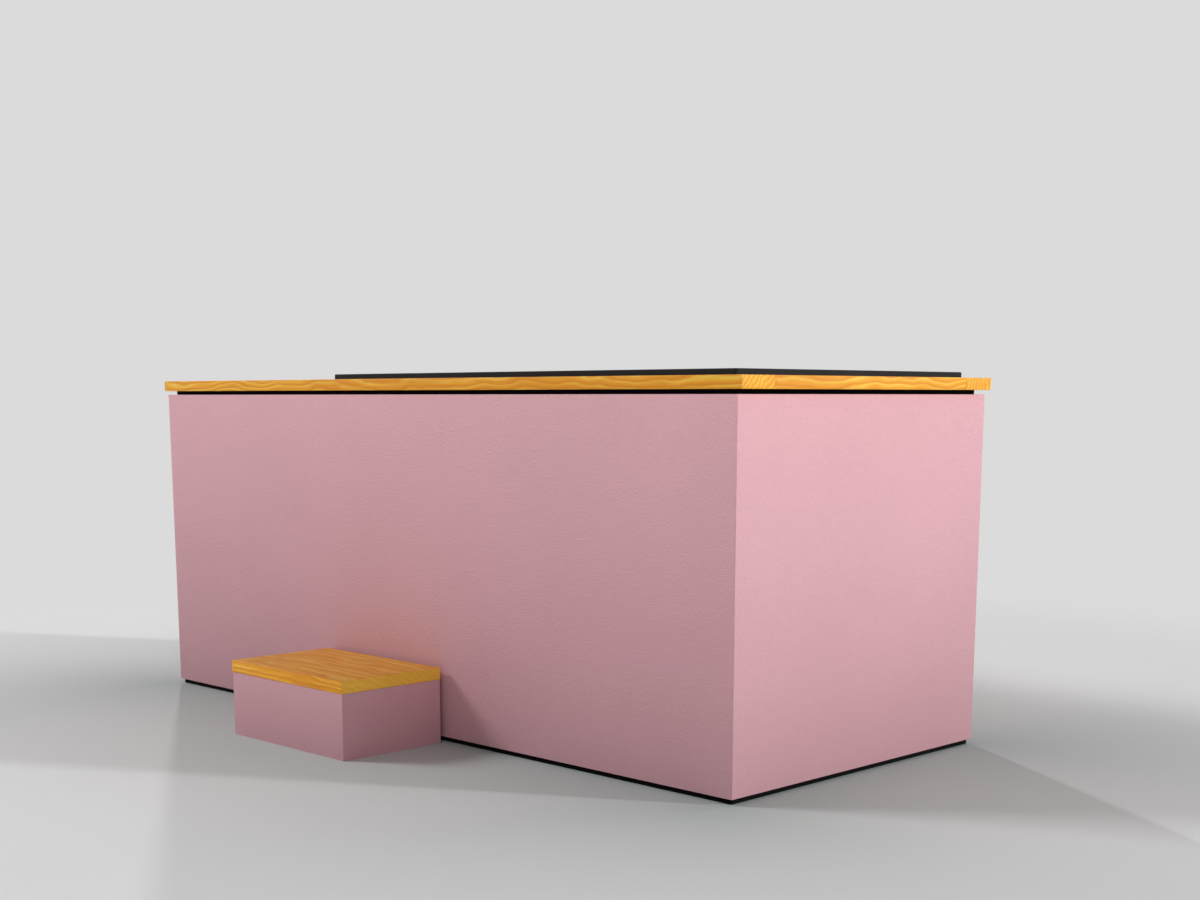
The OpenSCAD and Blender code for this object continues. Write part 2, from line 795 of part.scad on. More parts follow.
module rear_panel() color(paint) difference() {
    mirror([0, 1, 0]) mitred_panel(shell_x, shell_y, panel_t, floor_gap, shell_z);
    translate([intake_x, 0, intake_z])
        block(-vent_w / 2, vent_w / 2, in_y - eps, shell_y + eps, -vent_w / 2, vent_w / 2);
    rod_y(in_y - eps, shell_y + eps, tee_x, suction_z, spigot_r + free_gap);
    rod_y(in_y - eps, shell_y + eps, gland_x, gland_z, gland_r + free_gap);
}

module left_end_panel() color(paint) difference() {
    rotate([0, 0, -90]) mitred_panel(shell_y, shell_x, panel_t, floor_gap, shell_z);
    translate([0, vent_y, vent_z])
        block(-shell_x - eps, -in_x + eps, -vent_w / 2, vent_w / 2, -vent_w / 2, vent_w / 2);
}

module right_end_panel() color(paint)
    rotate([0, 0, 90]) mitred_panel(shell_y, shell_x, panel_t, floor_gap, shell_z);

module neck_strips() color(dark) difference() {
    union() {
        both_sides() block(-neck_out_x, neck_out_x, neck_in_y, neck_out_y, shell_z, deck_z0);
        strip_y = neck_in_y - free_gap;
        for (side = [0, 1])
            mirror([side, 0, 0]) block(neck_in_x, neck_out_x, -strip_y, strip_y, shell_z, deck_z0);
    }
    deck_screw_holes();
}

// Bath

module bath_profile_outside() polygon([
    [bath_out_x0, bath_z0 - bath_wall], [bath_low_x, bath_z0 - bath_wall],
    [bath_out_x1, bath_knee_z], [bath_out_x1, shell_z], [bath_out_x0, shell_z],
]);

module bath_profile_inside() polygon([
    [bath_x0, bath_z0], [bath_x1 - backrest_run, bath_z0],
    [bath_x1, slope_z], [bath_x1, deck_z0 + eps], [bath_x0, deck_z0 + eps],
]);

module bath_shell() color("white") difference() {
    union() {
        rotate([90, 0, 0]) linear_extrude(2 * bath_out_y, center = true) bath_profile_outside();
        block(rim_x0, neck_in_x - free_gap, -neck_in_y + free_gap, neck_in_y - free_gap, shell_z, deck_z0);
    }
    rotate([90, 0, 0]) linear_extrude(2 * bath_y, center = true) bath_profile_inside();
    rod_x(bath_out_x0 - eps, bath_x0 + eps, -line_y, suction_z, socket_r + pipe_fit);
    rod_x(bath_out_x0 - eps, bath_x0 + eps, line_y, return_z, socket_r + pipe_fit);
}

module insulation_boards() color([0.93, 0.90, 0.78]) {
    both_sides() block(
        mid_x1, end_rail_x, bath_out_y, bath_out_y + side_board_t, base_z, shell_z
    );
    foam_y = bath_out_y - foam_gap;
    difference() {
        block(mid_x1, bath_out_x0, -foam_y, foam_y, base_z, shell_z);
        rod_x(mid_x1 - eps, bath_out_x0 + eps, -line_y, suction_z, flange_r);
        rod_x(mid_x1 - eps, bath_out_x0 + eps, line_y, return_z, flange_r);
    }
    block(bath_out_x0 + foam_gap, bath_low_x, -foam_y, foam_y, base_z, bath_z0 - bath_wall);
    rotate([90, 0, 0]) linear_extrude(2 * foam_y, center = true) polygon([
        [bath_low_x + foam_gap, base_z], [end_rail_x, base_z], [end_rail_x, shell_z],
        [bath_out_x1 + foam_gap, shell_z], [bath_out_x1 + foam_gap, bath_knee_z],
        [bath_low_x + foam_gap, bath_z0 - bath_wall],
    ]);
}

// Deck

module deck_screw_holes()
    for (spot = deck_screw_spots)
        rod_z(rail_z - eps, deck_z0 + deck_screw_bite + eps, spot.x, spot.y, deck_screw_r + pipe_fit);

module deck_screws() color(steel)
    for (spot = deck_screw_spots) {
        rod_z(rail_z - deck_screw_head_t, rail_z, spot.x, spot.y, 2 * deck_screw_r);
        rod_z(rail_z - deck_screw_head_t / 2, deck_z0 + deck_screw_bite, spot.x, spot.y, deck_screw_r);
    }

module deck_front_board() color(wood) difference() {
    block(-deck_x, deck_x, -deck_y, -well_y, deck_z0, deck_z1);
    deck_screw_holes();
}

module deck_rear_board() color(wood) difference() {
    block(-deck_x, deck_x, well_y, deck_y, deck_z0, deck_z1);
    deck_screw_holes();
}

module cross_board(x0, x1) color(wood) difference() {
    block(x0, x1, -well_y + board_joint, well_y - board_joint, deck_z0, deck_z1);
    deck_screw_holes();
}

module deck_right_board() cross_board(well_x1, deck_x);

module deck_middle_board() cross_board(middle_x0, well_x0);

module deck_left_board() cross_board(-deck_x, -deck_x + end_board_w);

// Hatch

module hatch_ledges() color(dark) difference() {
    union() {
        ledge_y = neck_in_y - free_gap;
        left_x1 = hatch_x0 + ledge_reach;
        right_x0 = hatch_x1 - ledge_reach;
        block(right_x0, rim_x0 - free_gap, -ledge_y, ledge_y, shell_z, deck_z0);
        block(-neck_in_x + free_gap, left_x1, -ledge_y, ledge_y, shell_z, deck_z0);
        both_sides() block(
            left_x1 + free_gap, right_x0 - free_gap, hatch_y - ledge_reach, ledge_y, shell_z, deck_z0
        );
    }
    deck_screw_holes();
}

module hatch_boards() color(wood) difference() {
    for (i = [0 : hatch_boards_n - 1]) {
        y = -hatch_y + i * (hatch_board_w + hatch_board_gap);
        block(hatch_x0, hatch_x1, y, y + hatch_board_w, deck_z0, deck_z1);
    }
    rod_z(deck_z0 - eps, deck_z1 + eps, hatch_mid, finger_y, finger_r + finger_wall + pipe_fit);
}

module hatch_battens() color(wood)
    for (x = [hatch_x0 + batten_from_end, hatch_x1 - batten_from_end])
        block(x - batten_w / 2, x + batten_w / 2, -batten_l / 2, batten_l / 2, deck_z0 - batten_t, deck_z0);

module hatch_finger_ring() color(steel) difference() {
    union() {
        rod_z(deck_z0, deck_z1, hatch_mid, finger_y, finger_r + finger_wall);
        rod_z(deck_z1, deck_z1 + finger_flange_t, hatch_mid, finger_y, finger_r + finger_flange);
    }
    rod_z(deck_z0 - eps, deck_z1 + finger_flange_t + eps, hatch_mid, finger_y, finger_r);
}

// Knuckle pieces of a hinge, each between two shares of its length
module knuckle(x, from, to)
    rod_x(
        x + (from - 0.5) * hinge_l + free_gap, x + (to - 0.5) * hinge_l - free_gap,
        hinge_y, hinge_z, knuckle_r
    );

// The room that the other leaf's knuckle needs
module knuckle_room(x, from, to)
    block(
        x + (from - 0.5) * hinge_l - eps / 2, x + (to - 0.5) * hinge_l + eps / 2,
        hinge_y - knuckle_r - leaf_gap, hinge_y + knuckle_r + leaf_gap,
        deck_z1 - eps, hinge_z + knuckle_r + leaf_gap
    );

module hinge_bore(x)
    rod_x(x - hinge_l, x + hinge_l, hinge_y, hinge_z, hinge_pin_r + run_fit);

module leaf(x, side) {
    y = hinge_y + side * (hinge_leaf_w + leaf_gap) / 2;
    half_w = (hinge_leaf_w - leaf_gap) / 2;
    block(x - hinge_l / 2, x + hinge_l / 2, y - half_w, y + half_w, deck_z1, deck_z1 + hinge_t);
}

module hinge_fixed_leaves() color(steel) {
    for (x = hinge_xs) {
        difference() {
            union() {
                difference() {
                    leaf(x, 1);
                    knuckle_room(x, 1 / 3, 2 / 3);
                }
                knuckle(x, 0, 1 / 3);
                knuckle(x, 2 / 3, 1);
            }
            hinge_bore(x);
        }
        rod_x(x - hinge_l / 2, x + hinge_l / 2, hinge_y, hinge_z, hinge_pin_r);
    }
}

module hinge_moving_leaves() color(steel)
    for (x = hinge_xs) difference() {
        union() {
            difference() {
                leaf(x, -1);
                knuckle_room(x, 0, 1 / 3);
                knuckle_room(x, 2 / 3, 1);
            }
            knuckle(x, 1 / 3, 2 / 3);
        }
        hinge_bore(x);
    }

// Cover

module grip_pocket(x, extra)
    block(
        x - grip_w / 2 - extra, x + grip_w / 2 + extra,
        -grip_l / 2 - extra, grip_l / 2 + extra, cover_z - grip_h - extra, cover_z + eps
    );

module grip_flange_room(x, extra)
    block(
        x - grip_w / 2 - grip_rim - extra, x + grip_w / 2 + grip_rim + extra,
        -grip_l / 2 - grip_rim - extra, grip_l / 2 + grip_rim + extra,
        cover_z - grip_flange_t, cover_z + 2 * extra
    );

module cover_panel() color(dark) difference() {
    rounded_plate(cover_x0, cover_x1, cover_w / 2, cover_corner_r, deck_z1, cover_z);
    for (x = grip_xs) {
        grip_pocket(x, 0);
        grip_flange_room(x, free_gap);
    }
}

module cover_core() color([0.85, 0.85, 0.85]) difference() {
    block(core_x0, core_x1, -core_y, core_y, core_z, deck_z1);
    for (x = grip_xs)
        grip_pocket(x, 0);
}

module cover_seal_strips() color(dark) {
    reach = core_gap - free_gap;
    both_sides() block(core_x0 - reach, core_x1 + reach, core_y, core_y + reach, deck_z1 - seal_h, deck_z1);
    strip_y = core_y - free_gap;
    block(core_x0 - reach, core_x0, -strip_y, strip_y, deck_z1 - seal_h, deck_z1);
    block(core_x1, core_x1 + reach, -strip_y, strip_y, deck_z1 - seal_h, deck_z1);
}

module cover_grips() color(steel)
    for (x = grip_xs) {
        difference() {
            union() {
                intersection() {
                    grip_pocket(x, -pipe_fit);
                    block(cover_x0, cover_x1, -cover_w / 2, cover_w / 2, core_z, cover_z);
                }
                grip_flange_room(x, 0);
            }
            grip_pocket(x, -grip_wall - pipe_fit);
        }
        rod_y(-grip_l / 2 + grip_wall / 2, grip_l / 2 - grip_wall / 2, x, grip_bar_z, grip_bar_r);
    }

// Water lines

// Fitting through the bath's end wall, with its flange inside the bath and its nut behind
module wall_fitting(y, z) {
    difference() {
        union() {
            rod_x(fitting_x0, bath_x0, y, z, socket_r);
            rod_x(bath_x0, bath_x0 + flange_t, y, z, flange_r);
        }
        rod_x(fitting_x0 - eps, bath_x0 + flange_t + eps, y, z, bore_r);
    }
    difference() {
        rod_x(bath_out_x0 - nut_t, bath_out_x0, y, z, flange_r - nut_step);
        rod_x(bath_out_x0 - nut_t - eps, bath_out_x0 + eps, y, z, socket_r + pipe_fit);
    }
}

module wall_fittings() color("whitesmoke") {
    wall_fitting(-line_y, suction_z);
    wall_fitting(line_y, return_z);
}

module suction_grille() color("whitesmoke") difference() {
    face_x = bath_x0 + flange_t;
    union() {
        rod_x(face_x, face_x + grille_t, -line_y, suction_z, flange_r - grille_wall);
        rod_x(bath_x0 + grille_stub_gap, face_x + grille_wall / 3, -line_y, suction_z, pipe_r - free_gap);
    }
    rod_x(bath_x0, face_x + grille_t - grille_wall, -line_y, suction_z, pipe_r - grille_wall);
    for (row = [0 : grille_slots_n - 1])
        translate([0, -line_y, suction_z + (row - (grille_slots_n - 1) / 2) * grille_pitch])
            block(
                face_x + grille_t - 2 * grille_wall, face_x + grille_t + eps,
                -grille_slot_l / 2, grille_slot_l / 2, -grille_slot_w / 2, grille_slot_w / 2
            );
}

// Ball nozzle that swivels in the return fitting's bore
module return_nozzle() color([0.20, 0.21, 0.22]) difference() {
    nozzle_x1 = nozzle_x + nozzle_r + spout_l;
    union() {
        translate([nozzle_x, line_y, return_z]) sphere(nozzle_r);
        rod_x(nozzle_x, nozzle_x1, line_y, return_z, spout_r);
    }
    rod_x(nozzle_x - nozzle_r - eps, nozzle_x1 + eps, line_y, return_z, spout_r - spout_wall);
}

module pipe_bore_x(x0, x1, y, z) difference() {
    rod_x(x0, x1, y, z, pipe_r);
    rod_x(x0 - eps, x1 + eps, y, z, pipe_r - pipe_wall);
}

module pipe_bore_y(y0, y1, x, z) difference() {
    rod_y(y0, y1, x, z, pipe_r);
    rod_y(y0 - eps, y1 + eps, x, z, pipe_r - pipe_wall);
}

module pipe_bore_z(z0, z1, x, y) difference() {
    rod_z(z0, z1, x, y, pipe_r);
    rod_z(z0 - eps, z1 + eps, x, y, pipe_r - pipe_wall);
}

module water_pipes() color("whitesmoke") {
    // suction fitting to tee, tee to pump
    pipe_bore_x(tee_x + tee_half - socket_depth, fitting_x0 + 2 * socket_depth, -line_y, suction_z);
    pipe_bore_x(pump_nozzle_x - socket_depth, tee_x - tee_half + socket_depth, -line_y, suction_z);
    // pump up to the first elbow, and on to the filter
    pipe_bore_z(suction_z + pump_port_h - socket_depth, inlet_z - elbow_arm + socket_depth, pump_x, -line_y);
    pipe_bore_x(filter_x + filter_port - socket_depth, pump_x - elbow_arm + socket_depth, -line_y, inlet_z);
    // filter to the second elbow, and on to the heat exchanger
    pipe_bore_y(-line_y + filter_port - socket_depth, line_y - elbow_arm + socket_depth, filter_x, outlet_z);
    pipe_bore_x(
        filter_x + elbow_arm - socket_depth, exchanger_x - exchanger_port + socket_depth,
        line_y, outlet_z
    );
    // heat exchanger to steriliser, and back to the bath
    pipe_bore_x(
        exchanger_x + exchanger_port - socket_depth, steriliser_x0 - steriliser_arm + socket_depth,
        line_y, return_z
    );
    pipe_bore_x(
        steriliser_x1 + steriliser_arm - socket_depth, fitting_x0 + 2 * socket_depth,
        line_y, return_z
    );
    // tee to drain valve
    pipe_bore_y(-line_y + tee_half - socket_depth, valve_y - valve_half + socket_depth, tee_x, suction_z);
}

// Elbow with its corner at the origin and its mouths facing -X and -Y
module elbow() difference() {
    union() {
        elbow_bend(branch_r);
        rod_x(-elbow_arm, -elbow_bend_r, 0, 0, socket_r);
        rod_y(-elbow_arm, -elbow_bend_r, 0, 0, socket_r);
    }
    elbow_bend(pipe_r - pipe_wall);
    rod_x(-elbow_arm - eps, -elbow_bend_r, 0, 0, bore_r);
    rod_y(-elbow_arm - eps, -elbow_bend_r, 0, 0, bore_r);
}

module elbow_bend(r)
    translate([-elbow_bend_r, -elbow_bend_r, 0])
        rotate_extrude(angle = 90) translate([elbow_bend_r, 0]) circle(r);

module pipe_elbows() color("whitesmoke") {
    translate([pump_x, -line_y, inlet_z]) rotate([90, 0, 0]) elbow();
    translate([filter_x, line_y, outlet_z]) mirror([1, 0, 0]) elbow();
}

module drain_tee() color("whitesmoke") difference() {
    union() {
        rod_x(tee_x - tee_half, tee_x + tee_half, -line_y, suction_z, socket_r);
        rod_y(-line_y, -line_y + tee_half, tee_x, suction_z, branch_r);
    }
    rod_x(tee_x - tee_half - eps, tee_x + tee_half + eps, -line_y, suction_z, bore_r);
    rod_y(-line_y, -line_y + tee_half + eps, tee_x, suction_z, bore_r);
}

module drain_valve_body() color([0.20, 0.21, 0.22]) difference() {
    union() {
        rod_y(valve_y - valve_half, valve_y + valve_half, tee_x, suction_z, valve_ball_r + valve_wall);
        rod_z(suction_z, stem_top, tee_x, valve_y, 2 * stem_r);
    }
    rod_y(valve_y - valve_half - eps, valve_y, tee_x, suction_z, bore_r);
    rod_y(valve_y, valve_y + valve_half + eps, tee_x, suction_z, spigot_r + pipe_fit);
    translate([tee_x, valve_y, suction_z]) sphere(valve_ball_r + free_gap);
    rod_z(suction_z, lever_z + eps, tee_x, valve_y, stem_r + run_fit);
}

module drain_valve_ball() color(steel) difference() {
    union() {
        translate([tee_x, valve_y, suction_z]) sphere(valve_ball_r);
        rod_z(suction_z, lever_z, tee_x, valve_y, stem_r);
    }
    rod_x(tee_x - 2 * valve_ball_r, tee_x + 2 * valve_ball_r, valve_y, suction_z, spigot_bore_r);
}

// At rest the lever lies across the pipe and the valve is closed
module drain_valve_lever() color("firebrick") union() {
    rod_z(lever_z, lever_z + lever_t, tee_x, valve_y, lever_w / 2 + lever_eye);
    block(tee_x - lever_l, tee_x, valve_y - lever_w / 2, valve_y + lever_w / 2, lever_z, lever_z + lever_t);
}

module drain_spigot() color([0.72, 0.60, 0.33]) difference() {
    spigot_y0 = valve_y + valve_half - socket_depth / 2;
    spigot_y1 = shell_y + spigot_flange_t + spigot_l;
    union() {
        rod_y(spigot_y0, spigot_y1, tee_x, suction_z, spigot_r);
        rod_y(shell_y, shell_y + spigot_flange_t, tee_x, suction_z, spigot_flange_r);
    }
    rod_y(spigot_y0 - eps, spigot_y1 + eps, tee_x, suction_z, spigot_bore_r);
}

// Pump

module pump_housing() color([0.16, 0.17, 0.18]) difference() {
    volute_x0 = pump_x - volute_t / 2;
    volute_x1 = pump_x + volute_t / 2;
    union() {
        rod_x(volute_x0, volute_x1, -line_y, suction_z, volute_r);
        rod_x(pump_x, pump_nozzle_x, -line_y, suction_z, socket_r);
        rod_z(suction_z, suction_z + pump_port_h, pump_x, -line_y, branch_r);
    }
    rod_x(volute_x0 + volute_wall, volute_x1 - volute_wall, -line_y, suction_z, volute_r - volute_rim);
    rod_x(pump_x, pump_nozzle_x + eps, -line_y, suction_z, bore_r);
    rod_z(
        suction_z + volute_r - 1.5 * volute_rim, suction_z + pump_port_h + eps,
        pump_x, -line_y, bore_r
    );
    rod_x(pump_x - volute_t, pump_x, -line_y, suction_z, pump_shaft_r + run_fit);
}

module pump_impeller() color("ivory") {
    disc_x = pump_x - volute_t / 2 + volute_wall + impeller_gap;
    vane_x = pump_x + volute_t / 2 - volute_wall - vane_gap;
    shaft_x0 = pump_left + motor_end_l + shaft_end_gap;
    shaft_x1 = pump_x + volute_t / 2 - volute_wall - impeller_gap;
    union() {
        rod_x(shaft_x0, shaft_x1, -line_y, suction_z, pump_shaft_r);
        rod_x(disc_x, disc_x + impeller_t, -line_y, suction_z, impeller_r);
        for (i = [0 : vanes_n - 1])
            translate([0, -line_y, suction_z]) rotate([i * 360 / vanes_n, 0, 0]) block(
                disc_x + impeller_t - vane_t / 4, vane_x, -vane_t / 2, vane_t / 2,
                pump_shaft_r * 5 / 6, impeller_r - vane_t
            );
    }
}

// Motor on a foot, with its terminal box on top
module pump_motor() color([0.22, 0.30, 0.42]) {
    foot_x0 = pump_left + motor_end_l;
    foot_x1 = pump_left + pump_motor_l - motor_end_l;
    foot_half = pump_motor_r * motor_foot_share;
    box_half = pump_motor_r * motor_box_share;
    difference() {
        union() {
            rod_x(pump_left, pump_x - volute_t / 2, -line_y, suction_z, pump_motor_r);
            block(foot_x0, foot_x1, -line_y - foot_half, -line_y + foot_half, base_z, suction_z);
            block(
                foot_x0, foot_x1, -line_y - box_half, -line_y + box_half,
                suction_z, suction_z + pump_motor_r + motor_box_h
            );
        }
        rod_x(pump_left + motor_end_l, pump_x, -line_y, suction_z, pump_shaft_r + run_fit);
    }
}

// Filter

module filter_housing() color([0.12, 0.20, 0.34]) difference() {
    union() {
        rod_z(base_z, filter_top, filter_x, -line_y, filter_r);
        rod_x(filter_x, filter_x + filter_port, -line_y, inlet_z, socket_r);
        rod_y(-line_y, -line_y + filter_port, filter_x, outlet_z, socket_r);
    }
    rod_z(base_z + filter_floor, filter_top + eps, filter_x, -line_y, filter_r - filter_wall);
    rod_x(filter_x, filter_x + filter_port + eps, -line_y, inlet_z, bore_r);
    rod_y(-line_y, -line_y + filter_port + eps, filter_x, outlet_z, bore_r);
}

module filter_cartridge() color("ghostwhite") {
    pleat_step = 180 / pleats_n;
    cartridge_h = filter_outlet_h - filter_floor - cartridge_drop;
    translate([filter_x, -line_y, base_z + filter_floor]) linear_extrude(cartridge_h) difference() {
        polygon([
            for (i = [0 : 2 * pleats_n - 1])
                cartridge_r * (i % 2 == 0 ? 1 : pleat_share) * [cos(i * pleat_step), sin(i * pleat_step)]
        ]);
        circle(cartridge_r * cartridge_core_share);
    }
}

// Screw lid with ribs round its skirt and a bar to turn it by
module filter_lid() color([0.12, 0.13, 0.14]) {
    skirt_r = filter_r + lid_wall;
    bar_half = filter_r * lid_bar_share;
    difference() {
        rod_z(filter_top - lid_skirt_h, filter_top + lid_t, filter_x, -line_y, skirt_r);
        rod_z(filter_top - lid_skirt_h - eps, filter_top, filter_x, -line_y, filter_r + run_fit);
    }
    translate([filter_x, -line_y, filter_top]) {
        for (i = [0 : lid_ribs_n - 1])
            rotate([0, 0, i * 360 / lid_ribs_n]) block(
                skirt_r - lid_rib_over / 4, skirt_r + lid_rib_over, -lid_rib_w / 2, lid_rib_w / 2,
                lid_rib_gap - lid_skirt_h, lid_t - lid_rib_over
            );
        block(-bar_half, bar_half, -lid_bar_w / 2, lid_bar_w / 2, lid_t / 2, lid_t + lid_bar_h);
    }
}

// Treatment and chilling

module steriliser() color("silver") {
    arm_x0 = steriliser_x0 - steriliser_arm;
    arm_x1 = steriliser_x1 + steriliser_arm;
    difference() {
        union() {
            rod_x(steriliser_x0, steriliser_x1, line_y, return_z, steriliser_r);
            rod_x(arm_x0, arm_x1, line_y, return_z, socket_r);
        }
        rod_x(arm_x0 - eps, arm_x1 + eps, line_y, return_z, bore_r);
    }
}

module heat_exchanger() color([0.24, 0.26, 0.28]) difference() {
    foot_r = exchanger_r + exchanger_foot_over;
    shell_z0 = base_z + exchanger_floor;
    shell_z1 = base_z + exchanger_h - exchanger_top;
    union() {
        rod_z(base_z, base_z + exchanger_h, exchanger_x, line_y, exchanger_r);
        rod_z(base_z, base_z + exchanger_foot_t, exchanger_x, line_y, foot_r);
        rod_x(exchanger_x - exchanger_port, exchanger_x, line_y, outlet_z, socket_r);
        rod_x(exchanger_x, exchanger_x + exchanger_port, line_y, return_z, socket_r);
    }
    rod_z(shell_z0, shell_z1, exchanger_x, line_y, exchanger_r - exchanger_wall);
    rod_x(exchanger_x - exchanger_port - eps, exchanger_x, line_y, outlet_z, bore_r);
    rod_x(exchanger_x, exchanger_x + exchanger_port + eps, line_y, return_z, bore_r);
}

// Compressor on four soft feet, with its line stubs on top. Its levels are shares of its height.
module compressor() color([0.08, 0.08, 0.09]) {
    plate_z = base_z + compressor_foot_h;
    plate_half = compressor_r - compressor_plate_t / 2;
    foot_off = plate_half - compressor_foot_r - compressor_plate_t / 2;
    body_r = compressor_r - compressor_step;
    seam = [0.4, 0.44];
    body_top = 0.85;
    cap_foot = 0.8;
    cap_share = 0.72;
    translate([compressor_x, 0, 0]) {
        for (x = [-foot_off, foot_off], y = [-foot_off, foot_off])
            rod_z(base_z, plate_z + compressor_plate_t / 4, x, y, compressor_foot_r);
        block(-plate_half, plate_half, -plate_half, plate_half, plate_z, plate_z + compressor_plate_t);
        rod_z(plate_z + compressor_plate_t / 2, plate_z + compressor_h * body_top, 0, 0, body_r);
        rod_z(plate_z + compressor_h * seam[0], plate_z + compressor_h * seam[1], 0, 0, compressor_r);
        rod_z(plate_z + compressor_h * cap_foot, plate_z + compressor_h, 0, 0, compressor_r * cap_share);
        for (y = [-stub_side, stub_side])
            rod_z(plate_z + compressor_h * body_top, plate_z + compressor_h + stub_h, -stub_back, y, stub_r);
    }
}

// Condenser: its fin block in a frame of four rims
module condenser() color("darkgray") {
    half = condenser_w / 2;
    inset = condenser_rim_t * 3 / 4;
    x1 = condenser_x + condenser_t;
    union() {
        block(
            condenser_x + condenser_rim_t, x1 - condenser_rim_t,
            vent_y - half + inset, vent_y + half - inset, base_z + inset, base_z + condenser_w - inset
        );
        for (y = [vent_y - half, vent_y + half - condenser_rim_t])
            block(condenser_x, x1, y, y + condenser_rim_t, base_z, base_z + condenser_w);
        for (z = [base_z, base_z + condenser_w - condenser_rim_t])
            block(condenser_x, x1, vent_y - half, vent_y + half, z, z + condenser_rim_t);
    }
}

module fan_shroud() color([0.12, 0.13, 0.14]) {
    half = condenser_w / 2;
    hole_half = half - condenser_rim_t;
    ring_r = fan_r + fan_tip_gap;
    difference() {
        union() {
            block(
                condenser_x + condenser_t, shroud_x, vent_y - half, vent_y + half,
                base_z, base_z + condenser_w
            );
            rod_x(shroud_x - shroud_t / 3, shroud_x + ring_l, vent_y, vent_z, ring_r + shroud_t);
        }
        rod_x(condenser_x, shroud_x + ring_l + eps, vent_y, vent_z, ring_r);
        block(
            condenser_x, shroud_x - shroud_t, vent_y - hole_half, vent_y + hole_half,
            base_z + condenser_rim_t, base_z + condenser_w - condenser_rim_t
        );
    }
}

// Motor in the middle of a cross of flat bars, which stand off the shroud on four posts
module fan_motor() color([0.18, 0.19, 0.20]) difference() {
    post_at = bracket_r - bracket_post_inset;
    bore_x1 = bracket_x + fan_motor_l - fan_motor_cap;
    union() {
        rod_x(bracket_x, bracket_x + fan_motor_l, vent_y, vent_z, fan_motor_r);
        for (turn = [45, 135])
            translate([bracket_x, vent_y, vent_z]) rotate([turn, 0, 0])
                block(0, bracket_t, -bracket_r, bracket_r, -bracket_w / 2, bracket_w / 2);
        for (turn = [45 : 90 : 315])
            translate([0, vent_y, vent_z]) rotate([turn, 0, 0])
                rod_x(shroud_x, bracket_x + bracket_t / 4, post_at, 0, bracket_post_r);
    }
    rod_x(bracket_x - eps, bore_x1, vent_y, vent_z, fan_shaft_r + run_fit);
}

module fan_rotor() color([0.25, 0.26, 0.28]) union() {
    shaft_x1 = bracket_x + fan_motor_l - fan_motor_cap - fan_shaft_gap;
    rod_x(fan_x0, fan_x0 + fan_l, vent_y, vent_z, fan_hub_r);
    rod_x(fan_x0 + fan_l / 2, shaft_x1, vent_y, vent_z, fan_shaft_r);
    intersection() {
        rod_x(fan_x0 - blade_over, fan_x0 + fan_l + blade_over, vent_y, vent_z, fan_r);
        translate([fan_x0 + fan_l / 2, vent_y, vent_z]) for (i = [0 : blades_n - 1])
            rotate([i * 360 / blades_n, 0, 0]) rotate([0, 0, 90 - blade_pitch]) block(
                -blade_w / 2, blade_w / 2, -blade_t / 2, blade_t / 2, fan_hub_r * 2 / 3, 2 * fan_r
            );
    }
}

// A louvre seen from outside at -Y: flange on the panel, neck through it, sloping slats
module louvre() {
    half = vent_w / 2 - free_gap;
    clear_half = half - vent_wall;
    slat_half = half - vent_wall * 2 / 3;
    pitch = 2 * clear_half / slats_n;
    outer = half + vent_flange;
    difference() {
        union() {
            block(-outer, outer, -vent_flange_t, 0, -outer, outer);
            block(-half, half, -eps, vent_depth, -half, half);
        }
        block(
            -clear_half, clear_half, -vent_flange_t - eps, vent_depth + eps, -clear_half, clear_half
        );
    }
    for (i = [0 : slats_n - 1])
        translate([0, (vent_depth - slat_t) / 2, -clear_half + (i + 0.5) * pitch]) rotate([slat_angle, 0, 0])
            block(-slat_half, slat_half, -slat_w / 2, slat_w / 2, -slat_t / 2, slat_t / 2);
}

module vent_louvres() color([0.14, 0.14, 0.15]) {
    translate([-shell_x, vent_y, vent_z]) rotate([0, 0, -90]) louvre();
    translate([intake_x, shell_y, intake_z]) rotate([0, 0, 180]) louvre();
}

module mains_gland() color([0.14, 0.14, 0.15]) difference() {
    union() {
        rod_y(in_y - gland_in, shell_y + gland_out, gland_x, gland_z, gland_r);
        rod_y(shell_y, shell_y + gland_collar_t, gland_x, gland_z, gland_r + gland_collar_over);
        rod_y(in_y - gland_nut_t, in_y, gland_x, gland_z, gland_r + gland_nut_over);
    }
    rod_y(in_y - gland_in - eps, shell_y + gland_out + eps, gland_x, gland_z, gland_bore_r);
}

// Controls

module control_box() color([0.20, 0.21, 0.23]) difference() {
    block(box_x0, bulk_x, -box_w / 2, box_w / 2, box_z0, box_z1);
    block(
        box_x0 + box_wall, bulk_x - box_wall, -box_w / 2 + box_wall, box_w / 2 - box_wall,
        box_z0 + box_wall, box_z1 - box_wall
    );
    for (y = key_ys)
        rod_z(box_z1 - 2 * box_wall, box_z1 + eps, key_x, y, key_r + free_gap);
    rocker_room();
}

module control_key(y) color("gainsboro") union() {
    flange_z = box_z1 - box_wall - free_gap;
    rod_z(flange_z - key_flange, box_z1 + key_rise, key_x, y, key_r);
    rod_z(flange_z - key_flange, flange_z, key_x, y, key_r + key_flange_over);
}

module control_key_set() control_key(key_ys[0]);

module control_key_mode() control_key(key_ys[1]);

// Slot for the rocker, long enough for its corners as it tilts, and bores for its pin
module rocker_room() {
    long_half = rocker_l / 2 + rocker_gap;
    wide_half = rocker_w / 2 + free_gap;
    block(
        key_x - long_half, key_x + long_half, rocker_y - wide_half, rocker_y + wide_half,
        box_z1 - 2 * box_wall, box_z1 + eps
    );
    rod_y(
        rocker_y - rocker_w / 2 - rocker_pin_l - free_gap,
        rocker_y + rocker_w / 2 + rocker_pin_l + free_gap,
        key_x, box_z1 - box_wall / 2, rocker_pin_r + run_fit
    );
}

